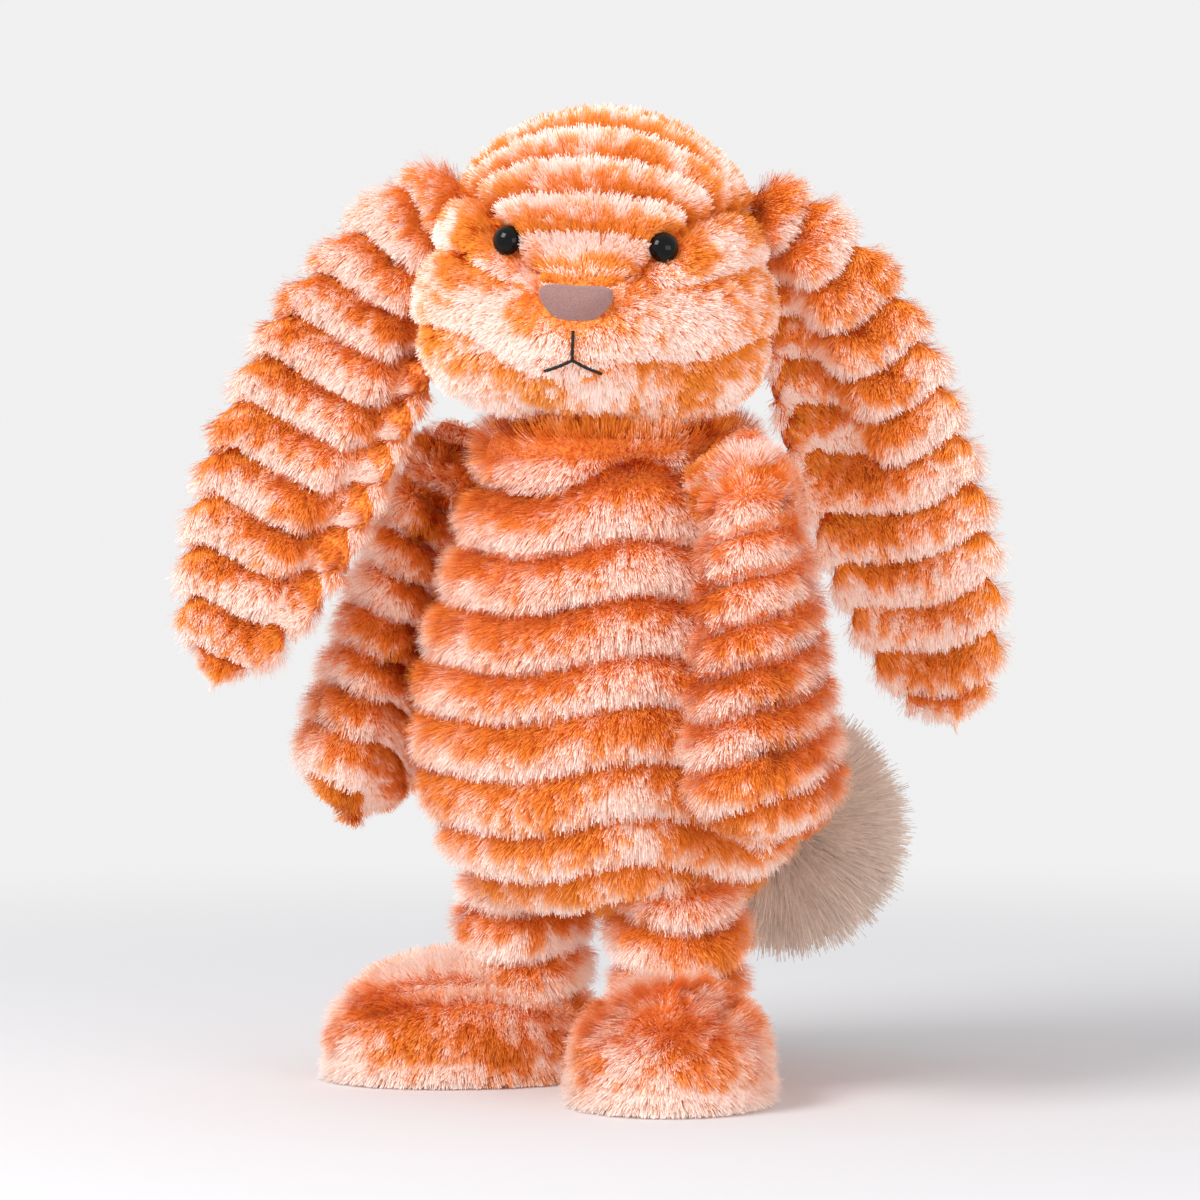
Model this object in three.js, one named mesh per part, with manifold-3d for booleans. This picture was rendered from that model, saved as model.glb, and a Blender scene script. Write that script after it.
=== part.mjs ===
// A plush lop-eared rabbit in ribbed pile fabric, standing on its two feet.
// Lengths are millimetres and angles degrees. +Z is up, the belly faces -Y and the rabbit's left is +X.
// Every stuffed form is drawn to the surface of its pile; the skin is the outer layer of that form,
// and the stuffing fills what is left inside.

import * as THREE from "three";
import { mergeVertices } from "three/addons/utils/BufferGeometryUtils.js";
import Module from "manifold-3d";

const wasm = await Module();
wasm.setup();

// Fabric and seams
const SEAM_GAP = 0.3;
const JOINT_GAP = 0.7;
const SKIN = 7;
const RIB_PITCH = 16;
const RIB_DEPTH = 2.6;
const RINGS_PER_RIB = 2;
const INNER_RINGS_PER_RIB = 1;

// Body: an egg on a vertical axis, its outline as [share of the height, share of the half width]
const BODY_BASE = 52;
const BODY_HEIGHT = 162;
const BODY_WIDTH = 132;
const BODY_DEPTH = 126;
const BODY_OUTLINE = [
  [0, 0], [0.02, 0.46], [0.07, 0.73], [0.15, 0.875], [0.25, 0.965], [0.36, 1], [0.48, 0.98],
  [0.6, 0.91], [0.73, 0.82], [0.85, 0.735], [0.92, 0.645], [0.95, 0.48], [0.975, 0.25], [1, 0],
];
const POUCH_WIDTH = 78;
const POUCH_HEIGHT = 26;
const POUCH_RISE = 30;

// Neck: a ball of wadding that the head turns and nods on
const NECK_BALL = 15;
const NECK_FORWARD = 5;
const NECK_RELIEF = -3.5;
const NECK_MOUTH = 30;

// Head
const HEAD_WIDTH = 105;
const HEAD_HEIGHT = 99;
const HEAD_DEPTH = 90;
const HEAD_FORWARD = 8;
const HEAD_SINK = 8;
const HEAD_TURN = 32;
const HEAD_ROLL = 3;
const HEAD_RIBS = 20;
const CHEEK_RADIUS = 31;
const CHEEK_SPREAD = 25;
const CHEEK_FORWARD = 13;
const CHEEK_DROP = 16;
const MUZZLE_WIDTH = 62;
const MUZZLE_HEIGHT = 46;
const MUZZLE_LENGTH = 50;
const MUZZLE_FORWARD = 31;
const MUZZLE_DROP = 19;
const FORM_BLEND = 3.5;
const GUSSET_NOSE = 9;
const GUSSET_FLARE = 33;
const GUSSET_SWEEP = 22;
const CHIN_DROP = 22;

// Face
const EYE_RADIUS = 4.8;
const EYE_DOME = 4.4;
const EYE_SPREAD = 29;
const EYE_RISE = 10.5;
const EYE_SEAT = 2.2;
const NOSE_WIDTH = 23;
const NOSE_HEIGHT = 12.5;
const NOSE_THICKNESS = 6;
const NOSE_SEAT = 2.4;
const NOSE_DROP = 9;
const NOSE_ROUND = 2.1;
const SHANK_RADIUS = 1.6;
const SHANK_LENGTH = 13;
const WASHER_RADIUS = 6;
const WASHER_THICKNESS = 1.5;
const MOUTH_THREAD = 1.1;
const MOUTH_STEM = 8;
const MOUTH_HALF_WIDTH = 9.5;
const MOUTH_ARM_DROP = 5.5;

// Ears: each of two panels face to face, hung by a round root in a slot in the side of the head
const EAR_WIDTH = 64;
const EAR_PANEL = 8;
const EAR_CUP = 8;
const EAR_ROOT_RADIUS = 19;
const EAR_ROOT_RISE = 13;
const EAR_ROOT_BACK = 7;
const EAR_ROOT_INSET = 1;
const EAR_SLOT_LENGTH = 28;
const EAR_DROP = 150;
const EAR_DIP = 35;
const LEFT_EAR_BEND = 21;
const RIGHT_EAR_BEND = 15;
const EAR_OUTLINE = [
  [0, 0.3], [0.04, 0.56], [0.15, 0.68], [0.35, 0.94], [0.52, 1],
  [0.7, 0.95], [0.85, 0.78], [0.95, 0.5], [1, 0],
];
const LEFT_EAR_OUT = 18;
const LEFT_EAR_BACK = 8;
const RIGHT_EAR_OUT = 20;
const RIGHT_EAR_BACK = -9;

// Arms: flat against the flank, hung from a stuffed ball at the shoulder
const ARM_LENGTH = 130;
const ARM_WIDTH = 55;
const ARM_THICKNESS = 43;
const ARM_FORWARD = 11;
const ARM_SPLAY = 12;
const LEFT_ARM_LEAN = 8;
const RIGHT_ARM_LEAN = 6;
const SHOULDER_DROP = 24;
const SHOULDER_RADIUS = 15;
const SHOULDER_OUT = 5;
const ARM_OUTLINE = [
  [0, 0], [0.04, 0.36], [0.12, 0.6], [0.3, 0.74], [0.55, 0.86],
  [0.75, 0.98], [0.86, 1], [0.95, 0.74], [1, 0],
];

// Legs and feet
const HIP_SPREAD = 31.5;
const HIP_FORWARD = 8;
const HIP_HEIGHT = 52;
const HIP_RADIUS = 22.5;
const LEG_RADIUS = 21;
const FOOT_LENGTH = 88;
const FOOT_WIDTH = 61;
const FOOT_HEIGHT = 40;
const FOOT_HEEL = 25;
const LEFT_FOOT_SPLAY = 33;
const RIGHT_FOOT_SPLAY = 43;
const FOOT_TOE_SWELL = 0.1;
const FOOT_CUT = 14;
const SOLE = 3;

// Tail: a long-haired pompom seated in the back
const TAIL_RADIUS = 31;
const TAIL_HEIGHT = 74;
const TAIL_SINK = 3;
const TAIL_MOUTH = 11;

const UP = new THREE.Vector3(0, 0, 1);
const FRONT = new THREE.Vector3(0, -1, 0);
const FAR = 600;
const SIMPLEST = 0.1;

const radians = THREE.MathUtils.degToRad;

function material(color, roughness) {
  return new THREE.MeshStandardMaterial({ color, roughness, metalness: 0 });
}

const pile = () => material("#e3874f", 0.95);
const stuffing = () => material("#f2efe8", 0.95);
const soleCloth = () => material("#d98a58", 0.9);
const tailPile = () => material("#e6dfd6", 0.95);
const beadPlastic = () => material("#0c0a0a", 0.1);
const flock = () => material("#c39a94", 0.9);
const washerPlastic = () => material("#e8e8e4", 0.5);
const thread = () => material("#1c1614", 0.8);
const pouchCloth = () => material("#cfc8bb", 0.9);

// The values of a table of [place, ...values] rows at any place, on a smooth curve through the rows.
function readTable(table, place) {
  const last = table.length - 1;
  const next = Math.min(Math.max(table.findIndex((row) => row[0] >= place), 1), last);
  const [before, from, to, after] = [next - 2, next - 1, next, next + 1].map(
    (i) => table[Math.min(Math.max(i, 0), last)],
  );
  const span = to[0] - from[0];
  const t = THREE.MathUtils.clamp((place - from[0]) / span, 0, 1);
  return from.slice(1).map((start, i) => {
    const end = to[i + 1];
    const slopeIn = ((end - before[i + 1]) / (to[0] - before[0])) * span;
    const slopeOut = ((after[i + 1] - start) / (after[0] - from[0])) * span;
    const bend = start - end;
    const square = -3 * bend - 2 * slopeIn - slopeOut;
    const cube = 2 * bend + slopeIn + slopeOut;
    return start + t * (slopeIn + t * (square + t * cube));
  });
}

// Height of the pile over a rib: 0 in the groove, 1 along the crest.
function ribWave(distance, pitch) {
  return Math.abs(Math.sin((Math.PI * distance) / pitch));
}

function triangleMesh(points, triangles) {
  const geometry = new THREE.BufferGeometry();
  const places = points.flatMap((point) => point.toArray());
  geometry.setAttribute("position", new THREE.Float32BufferAttribute(places, 3));
  geometry.setIndex(triangles);
  return geometry;
}

// A closed form from rings of equal length, drawn together to a point at each end.
function loft(rings, firstPoint, lastPoint) {
  const sides = rings[0].length;
  const points = [...rings.flat(), firstPoint, lastPoint];
  const first = points.length - 2;
  const last = points.length - 1;
  const triangles = [];
  for (let side = 0; side < sides; side++) {
    const beside = (side + 1) % sides;
    triangles.push(first, beside, side);
    for (let ring = 0; ring + 1 < rings.length; ring++) {
      const low = ring * sides;
      const high = low + sides;
      triangles.push(low + side, low + beside, high + beside, low + side, high + beside, high + side);
    }
    const end = (rings.length - 1) * sides;
    triangles.push(last, end + side, end + beside);
  }
  return triangleMesh(points, triangles);
}

// A solid from a closed geometry, its faces turned outward.
function solidOf(geometry) {
  const bare = new THREE.BufferGeometry();
  bare.setAttribute("position", geometry.getAttribute("position"));
  bare.setIndex(geometry.getIndex());
  const joined = mergeVertices(bare, 1e-4);
  const corners = joined.getIndex().array;
  const triangles = [];
  for (let i = 0; i < corners.length; i += 3) {
    const [a, b, c] = corners.slice(i, i + 3);
    if (a !== b && b !== c && c !== a) {
      triangles.push(a, b, c);
    }
  }
  const place = joined.getAttribute("position");
  const at = (i) => new THREE.Vector3().fromBufferAttribute(place, i);
  let volume = 0;
  for (let i = 0; i < triangles.length; i += 3) {
    volume += at(triangles[i]).dot(at(triangles[i + 1]).cross(at(triangles[i + 2])));
  }
  if (volume < 0) {
    triangles.reverse();
  }
  return new wasm.Manifold(
    new wasm.Mesh({
      numProp: 3,
      vertProperties: new Float32Array(place.array),
      triVerts: new Uint32Array(triangles),
    }),
  );
}

function geometryOf(solid) {
  const { numProp, vertProperties, triVerts } = solid.getMesh();
  const points = [];
  for (let i = 0; i < vertProperties.length; i += numProp) {
    points.push(new THREE.Vector3(vertProperties[i], vertProperties[i + 1], vertProperties[i + 2]));
  }
  return triangleMesh(points, Array.from(triVerts));
}

const join = (...solids) => wasm.Manifold.union(solids);
const cut = (solid, ...tools) => tools.reduce((left, tool) => left.subtract(tool), solid);

function ball(radius, centre, sides = 16) {
  const rings = Math.round(sides * 0.6);
  return solidOf(new THREE.SphereGeometry(radius, sides, rings).translate(centre.x, centre.y, centre.z));
}

// A round bar between two points.
function bar(radius, from, to, sides = 16) {
  const run = new THREE.Vector3().subVectors(to, from);
  const geometry = new THREE.CylinderGeometry(radius, radius, run.length(), sides);
  geometry.translate(0, run.length() / 2, 0);
  geometry.applyQuaternion(
    new THREE.Quaternion().setFromUnitVectors(new THREE.Vector3(0, 1, 0), run.clone().normalize()),
  );
  return solidOf(geometry.translate(from.x, from.y, from.z));
}

// All the space past a plane, which lies the given distance along its normal.
function beyond(normal, distance) {
  const block = new THREE.BoxGeometry(FAR, FAR, FAR).translate(0, 0, FAR / 2 + distance);
  return solidOf(block.applyQuaternion(new THREE.Quaternion().setFromUnitVectors(UP, normal)));
}

// A turned part on an axis through a seat, from [radius, distance along the axis] points.
function turned(outline, seat, axis, sides) {
  const points = outline.map(([radius, along]) => new THREE.Vector2(radius, along));
  const geometry = new THREE.LatheGeometry(points, sides);
  geometry.applyQuaternion(new THREE.Quaternion().setFromUnitVectors(new THREE.Vector3(0, 1, 0), axis));
  return solidOf(geometry.translate(seat.x, seat.y, seat.z));
}

// A stuffed form on a spine, oval in section, with ribs of pile across it.
// The sections' width lies along sideways; grow moves the whole surface in or out.
function stuffedForm({ spine, outline, width, depth, sideways, sides, ribs = 0, grow = 0 }) {
  const length = spine.getLength();
  const perRib = grow < 0 ? INNER_RINGS_PER_RIB : RINGS_PER_RIB;
  const steps = Math.round((length / RIB_PITCH) * perRib);
  const pitch = (length / steps) * perRib;
  const rings = [];
  let first = spine.getPointAt(0);
  let last = spine.getPointAt(1);
  for (let step = 1; step < steps; step++) {
    const share = step / steps;
    const [swell] = readTable(outline, share);
    const rib = ribs * (ribWave(share * length, pitch) - 1);
    const halfWidth = (swell * width) / 2 + rib + grow;
    const halfDepth = (swell * depth) / 2 + rib + grow;
    if (Math.min(halfWidth, halfDepth) > 2) {
      const tangent = spine.getTangentAt(share);
      const across = sideways.clone().projectOnPlane(tangent).normalize();
      const through = new THREE.Vector3().crossVectors(tangent, across);
      const centre = spine.getPointAt(share);
      const ring = [];
      for (let side = 0; side < sides; side++) {
        const angle = (2 * Math.PI * side) / sides;
        ring.push(
          centre
            .clone()
            .addScaledVector(across, halfWidth * Math.cos(angle))
            .addScaledVector(through, halfDepth * Math.sin(angle)),
        );
      }
      if (grow < 0) {
        const tip = SKIN + grow + 1;
        first = rings.length === 0 ? centre.clone().addScaledVector(tangent, -tip) : first;
        last = centre.clone().addScaledVector(tangent, tip);
      }
      rings.push(ring);
    }
  }
  return solidOf(loft(rings, first, last));
}

const rabbit = new THREE.Group();
rabbit.name = "plush_rabbit";

function addPiece(group, name, solid, look) {
  const mesh = new THREE.Mesh(geometryOf(solid.simplify(SIMPLEST)), look());
  mesh.name = name;
  group.add(mesh);
}

// Places shared between neighbours
const bodyTop = BODY_BASE + BODY_HEIGHT;
const neckCentre = new THREE.Vector3(0, -NECK_FORWARD, bodyTop);
const headCentre = new THREE.Vector3(0, -HEAD_FORWARD, bodyTop - HEAD_SINK + HEAD_HEIGHT / 2);
const bodyShape = {
  spine: new THREE.LineCurve3(new THREE.Vector3(0, 0, BODY_BASE), new THREE.Vector3(0, 0, bodyTop)),
  outline: BODY_OUTLINE,
  width: BODY_WIDTH,
  depth: BODY_DEPTH,
  sideways: new THREE.Vector3(1, 0, 0),
  sides: 20,
};
const bodySides = [
  { side: 1, word: "left", lean: LEFT_ARM_LEAN, splay: LEFT_FOOT_SPLAY },
  { side: -1, word: "right", lean: RIGHT_ARM_LEAN, splay: RIGHT_FOOT_SPLAY },
];
const hipCentre = (side) => new THREE.Vector3(side * HIP_SPREAD, -HIP_FORWARD, HIP_HEIGHT);

// How far the body reaches along a direction from the origin.
function bodyReach(direction) {
  const steps = 60;
  let reach = -Infinity;
  for (let step = 0; step <= steps; step++) {
    const [swell] = readTable(BODY_OUTLINE, step / steps);
    const flat = Math.hypot((direction.x * swell * BODY_WIDTH) / 2, (direction.y * swell * BODY_DEPTH) / 2);
    reach = Math.max(reach, flat + direction.z * (BODY_BASE + (BODY_HEIGHT * step) / steps));
  }
  return reach;
}

function bodyRadii(height) {
  const [swell] = readTable(BODY_OUTLINE, (height - BODY_BASE) / BODY_HEIGHT);
  return { across: (swell * BODY_WIDTH) / 2, deep: (swell * BODY_DEPTH) / 2 };
}

// The flank plane that an arm swings on, with the shoulder ball just outside it.
function shoulderOf(side) {
  const forward = radians(ARM_FORWARD);
  const splay = radians(ARM_SPLAY);
  const outward = new THREE.Vector3(side * Math.cos(forward), -Math.sin(forward), 0);
  const normal = outward.clone().multiplyScalar(Math.cos(splay)).addScaledVector(UP, Math.sin(splay));
  const plane = bodyReach(normal);
  const height = bodyTop - SHOULDER_DROP;
  const radius = (plane + SHOULDER_OUT - height * normal.z) / Math.cos(splay);
  const centre = outward.clone().multiplyScalar(radius).setZ(height);
  return { normal, plane, centre };
}

const tailCentre = new THREE.Vector3(0, bodyRadii(TAIL_HEIGHT).deep + TAIL_RADIUS - TAIL_SINK, TAIL_HEIGHT);

// Sockets that the body's joints need, each concentric with the piece that turns in it
const bodySockets = [
  ball(NECK_BALL + JOINT_GAP, neckCentre),
  ball(TAIL_RADIUS + JOINT_GAP, tailCentre, 20),
  ...bodySides.flatMap(({ side }) => [
    ball(HIP_RADIUS + JOINT_GAP, hipCentre(side)),
    ball(SHOULDER_RADIUS + JOINT_GAP, shoulderOf(side).centre),
  ]),
];

function addBody() {
  const outer = stuffedForm({ ...bodyShape, ribs: RIB_DEPTH });
  const hollow = stuffedForm({ ...bodyShape, sides: 14, grow: -SKIN });
  const skin = cut(outer, hollow, ...bodySockets);
  const pouchCentre = new THREE.Vector3(0, 0, BODY_BASE + POUCH_RISE);
  const pouchShape = (grow) =>
    solidOf(
      new THREE.SphereGeometry(1, 16, 8)
        .rotateX(Math.PI / 2)
        .scale(POUCH_WIDTH / 2 + grow, POUCH_WIDTH / 2 + grow, POUCH_HEIGHT / 2 + grow)
        .translate(pouchCentre.x, pouchCentre.y, pouchCentre.z),
    );
  const pouch = cut(pouchShape(0), ...bodySockets);
  const fill = stuffedForm({ ...bodyShape, sides: 14, grow: -SKIN - SEAM_GAP });
  addPiece(rabbit, "body_front", skin.intersect(beyond(FRONT, SEAM_GAP / 2)), pile);
  addPiece(rabbit, "body_back", skin.intersect(beyond(FRONT.clone().negate(), SEAM_GAP / 2)), pile);
  addPiece(rabbit, "body_fill", cut(fill, pouchShape(SEAM_GAP), ...bodySockets), stuffing);
  addPiece(rabbit, "bean_pouch", pouch, pouchCloth);
  addPiece(rabbit, "neck_wad", ball(NECK_BALL, neckCentre), stuffing);
}

// Distance at which a ray from the head's centre leaves an oval lump, or 0 where it misses.
function lumpReach(direction, { centre, radii }) {
  const ray = direction.clone().divide(radii);
  const start = centre.clone().divide(radii);
  const a = ray.lengthSq();
  const b = ray.dot(start);
  const within = b * b - a * (start.lengthSq() - 1);
  return within > 0 ? Math.max((b + Math.sqrt(within)) / a, 0) : 0;
}

const headLumps = [
  {
    centre: new THREE.Vector3(),
    radii: new THREE.Vector3(HEAD_WIDTH, HEAD_DEPTH, HEAD_HEIGHT).divideScalar(2),
  },
  ...[1, -1].map((side) => ({
    centre: new THREE.Vector3(side * CHEEK_SPREAD, -CHEEK_FORWARD, -CHEEK_DROP),
    radii: new THREE.Vector3(CHEEK_RADIUS, CHEEK_RADIUS, CHEEK_RADIUS),
  })),
  {
    centre: new THREE.Vector3(0, -MUZZLE_FORWARD, -MUZZLE_DROP),
    radii: new THREE.Vector3(MUZZLE_WIDTH, MUZZLE_LENGTH, MUZZLE_HEIGHT).divideScalar(2),
  },
];

// Distance from the head's centre to its surface: the lumps, run smoothly together.
function headReach(direction) {
  const reaches = headLumps.map((lump) => lumpReach(direction, lump));
  const most = Math.max(...reaches);
  const weight = reaches.reduce((sum, reach) => sum + Math.exp((reach - most) / FORM_BLEND), 0);
  return most + FORM_BLEND * Math.log(weight);
}

function headPoint(direction, grow = 0) {
  const out = direction.clone().normalize();
  return out.multiplyScalar(headReach(out) + grow);
}

// Ribs arch over the forehead from side to side and fade out on the cheeks and muzzle.
function headRib(direction) {
  const over = Math.atan2(direction.z, -direction.y);
  const brow = THREE.MathUtils.smoothstep(over, radians(14), radians(32));
  const nape = THREE.MathUtils.smoothstep(-over, radians(100), radians(120));
  const middle = 1 - THREE.MathUtils.smoothstep(Math.abs(direction.x), 0.55, 0.9);
  const wave = Math.abs(Math.sin((over * HEAD_RIBS) / 2)) - 1;
  return RIB_DEPTH * wave * Math.max(brow, nape) * middle;
}

function headForm({ segments, rings, ribbed = false, grow = 0 }) {
  const geometry = new THREE.SphereGeometry(1, segments, rings).rotateZ(-Math.PI / 2);
  const place = geometry.getAttribute("position");
  for (let i = 0; i < place.count; i++) {
    const direction = new THREE.Vector3().fromBufferAttribute(place, i).normalize();
    const point = headPoint(direction, grow + (ribbed ? headRib(direction) : 0));
    place.setXYZ(i, point.x, point.y, point.z);
  }
  return solidOf(geometry);
}

// A bead or button on a shank: its seat lies below the pile and its axis points out of the head.
function seatOf(direction, depth) {
  const axis = direction.clone().normalize();
  return { axis, seat: headPoint(axis, -depth) };
}

const eyeSeat = (side) => seatOf(new THREE.Vector3(side * EYE_SPREAD, -HEAD_DEPTH / 2, EYE_RISE), EYE_SEAT);
const noseSeat = seatOf(new THREE.Vector3(0, -MUZZLE_FORWARD - MUZZLE_LENGTH / 2, -NOSE_DROP), NOSE_SEAT);

function eyeBead({ seat, axis }, grow = 0) {
  const radius = EYE_RADIUS + grow;
  const dome = [];
  for (let step = 0; step <= 6; step++) {
    const angle = (Math.PI * step) / 12;
    dome.push([radius * Math.cos(angle), (EYE_DOME + grow) * Math.sin(angle)]);
  }
  dome[6][0] = 0;
  const shank = SHANK_RADIUS + grow;
  const stalk = [[0, -SHANK_LENGTH], [shank, -SHANK_LENGTH], [shank, -grow], [radius, -grow]];
  return turned([...stalk, ...dome], seat, axis, 14);
}

// The lock washer sits on the shank behind the skin.
function lockWasher({ seat, axis }, bore, grow = 0) {
  const near = -SKIN - SEAM_GAP + EYE_SEAT + grow;
  const far = near - WASHER_THICKNESS - 2 * grow;
  const rim = WASHER_RADIUS + grow;
  const disc = turned([[0, far], [rim, far], [rim, near], [0, near]], seat, axis, 12);
  return bore ? cut(disc, bar(bore, seat.clone().addScaledVector(axis, far - 1), seat, 10)) : disc;
}

// The nose: a flocked triangle with rounded corners, straight along the top. Inset draws its outline in.
function noseOutline(inset) {
  const half = NOSE_WIDTH / 2 - inset;
  const top = NOSE_HEIGHT * 0.42 - inset;
  const tip = -NOSE_HEIGHT * 0.58 + inset;
  const corner = 2;
  const shape = new THREE.Shape();
  shape.moveTo(corner - half, top);
  shape.lineTo(half - corner, top);
  shape.quadraticCurveTo(half, top, half - corner * 0.3, top - corner);
  shape.quadraticCurveTo(half * 0.5, tip + 1.2, 0, tip);
  shape.quadraticCurveTo(-half * 0.5, tip + 1.2, corner * 0.3 - half, top - corner);
  shape.quadraticCurveTo(-half, top, corner - half, top);
  return shape;
}

// Sets an extrusion that rises from its outline on the nose's seat, with a bar for its shank.
function onNoseSeat(extrusion, shankRadius) {
  const { seat, axis } = noseSeat;
  extrusion.rotateX(Math.PI / 2).applyQuaternion(new THREE.Quaternion().setFromUnitVectors(FRONT, axis));
  const shank = bar(
    shankRadius,
    seat.clone().addScaledVector(axis, -SHANK_LENGTH),
    seat.clone().addScaledVector(axis, NOSE_THICKNESS / 2),
    12,
  );
  return join(solidOf(extrusion.translate(seat.x, seat.y, seat.z)), shank);
}

function noseButton() {
  const button = new THREE.ExtrudeGeometry(noseOutline(NOSE_ROUND), {
    depth: NOSE_THICKNESS - 2 * NOSE_ROUND,
    bevelThickness: NOSE_ROUND,
    bevelSize: NOSE_ROUND,
    bevelSegments: 3,
    curveSegments: 4,
  });
  return onNoseSeat(button.translate(0, 0, NOSE_ROUND), SHANK_RADIUS);
}

function noseSocket() {
  const pocket = new THREE.ExtrudeGeometry(noseOutline(NOSE_ROUND), {
    depth: 2 * NOSE_THICKNESS,
    bevelThickness: SEAM_GAP,
    bevelSize: NOSE_ROUND + SEAM_GAP,
    bevelSegments: 1,
    curveSegments: 4,
  });
  return onNoseSeat(pocket, SHANK_RADIUS + SEAM_GAP);
}

// Black thread under the nose: a stem that parts into two arms, laid on the pile.
function mouthThread() {
  const top = -NOSE_DROP - NOSE_HEIGHT * 0.72;
  const front = -MUZZLE_FORWARD - MUZZLE_LENGTH / 2;
  const lay = (x, z) => headPoint(new THREE.Vector3(x, front, z), MOUTH_THREAD / 2 + SEAM_GAP + 0.2);
  const fork = [0, top - MOUTH_STEM];
  const strokes = [
    [[0, top], [0, top - MOUTH_STEM / 2], fork],
    ...[1, -1].map((side) => [
      fork,
      [side * MOUTH_HALF_WIDTH * 0.5, fork[1] - MOUTH_ARM_DROP * 0.65],
      [side * MOUTH_HALF_WIDTH, fork[1] - MOUTH_ARM_DROP],
    ]),
  ];
  const round = new THREE.Shape().absarc(0, 0, MOUTH_THREAD / 2, 0, 2 * Math.PI);
  return join(
    ball(MOUTH_THREAD / 2, lay(...fork), 8),
    ...strokes.map((stroke) =>
      solidOf(
        new THREE.ExtrudeGeometry(round, {
          extrudePath: new THREE.CatmullRomCurve3(stroke.map(([x, z]) => lay(x, z))),
          steps: 5,
          curveSegments: 2,
          bevelEnabled: false,
        }),
      ),
    ),
  );
}

// The centre line of an ear: out of the head's side, over a bend, then hanging.
function earSpine({ side, out, back, arch }) {
  const root = earHinge(side);
  const outward = radians(out);
  const hang = new THREE.Vector3(side * Math.sin(outward), Math.sin(radians(back)), -Math.cos(outward));
  hang.normalize();
  const dip = radians(EAR_DIP);
  const leave = new THREE.Vector3(side * Math.cos(dip), 0, -Math.sin(dip));
  const start = root.clone().addScaledVector(leave, -EAR_ROOT_RADIUS * 0.7);
  const bend = root.clone().add(new THREE.Vector3(side * arch * 0.62, 0, -arch * 0.5));
  return new THREE.CatmullRomCurve3([
    start,
    root,
    bend,
    bend.clone().addScaledVector(hang, EAR_DROP * 0.3).add(new THREE.Vector3(side * arch * 0.22, 0, 0)),
    bend.clone().addScaledVector(hang, EAR_DROP * 0.65).add(new THREE.Vector3(side * arch * 0.25, 0, 0)),
    bend.clone().addScaledVector(hang, EAR_DROP).add(new THREE.Vector3(side * arch * 0.12, 0, 0)),
  ]);
}

const headHalfWidth = headReach(new THREE.Vector3(1, 0, 0));

function earHinge(side) {
  return new THREE.Vector3(side * (headHalfWidth - EAR_ROOT_INSET), EAR_ROOT_BACK, EAR_ROOT_RISE);
}

// One panel of an ear: face 1 is the lining in front, face -1 the panel behind it.
function earPanel(ear, face) {
  const spine = earSpine(ear);
  const length = spine.getLength();
  const steps = Math.round((length / RIB_PITCH) * RINGS_PER_RIB);
  const pitch = (length / steps) * RINGS_PER_RIB;
  const rings = [];
  for (let step = 0; step < steps; step++) {
    const share = step / steps;
    const centre = spine.getPointAt(share);
    const tangent = spine.getTangentAt(share);
    const across = new THREE.Vector3().crossVectors(tangent, FRONT).normalize();
    const normal = new THREE.Vector3().crossVectors(across, tangent);
    const halfWidth = (readTable(EAR_OUTLINE, share)[0] * EAR_WIDTH) / 2;
    const cup = EAR_CUP * THREE.MathUtils.smoothstep(share, 0.08, 0.4) * (halfWidth / (EAR_WIDTH / 2)) ** 2;
    const rib = RIB_DEPTH * (ribWave(share * length, pitch) - 1);
    const at = (u, lift) =>
      centre
        .clone()
        .addScaledVector(across, u * (halfWidth + rib))
        .addScaledVector(normal, cup * u * u + face * lift);
    const thick = (u) => 1.2 + (EAR_PANEL - 1.2 + rib) * Math.sqrt(1 - u * u) * Math.min(1, halfWidth / 12);
    rings.push([
      ...[-1, -0.8, -0.35, 0.35, 0.8, 1].map((u) => at(u, thick(u))),
      ...[1, 0, -1].map((u) => at(u, SEAM_GAP)),
    ]);
  }
  const lift = face * (0.6 + SEAM_GAP);
  const tip = spine.getPointAt(1).add(new THREE.Vector3(0, -lift, 0));
  const root = spine.getPointAt(0).add(new THREE.Vector3(0, -lift, 0));
  return solidOf(loft(rings, root, tip));
}

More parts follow.
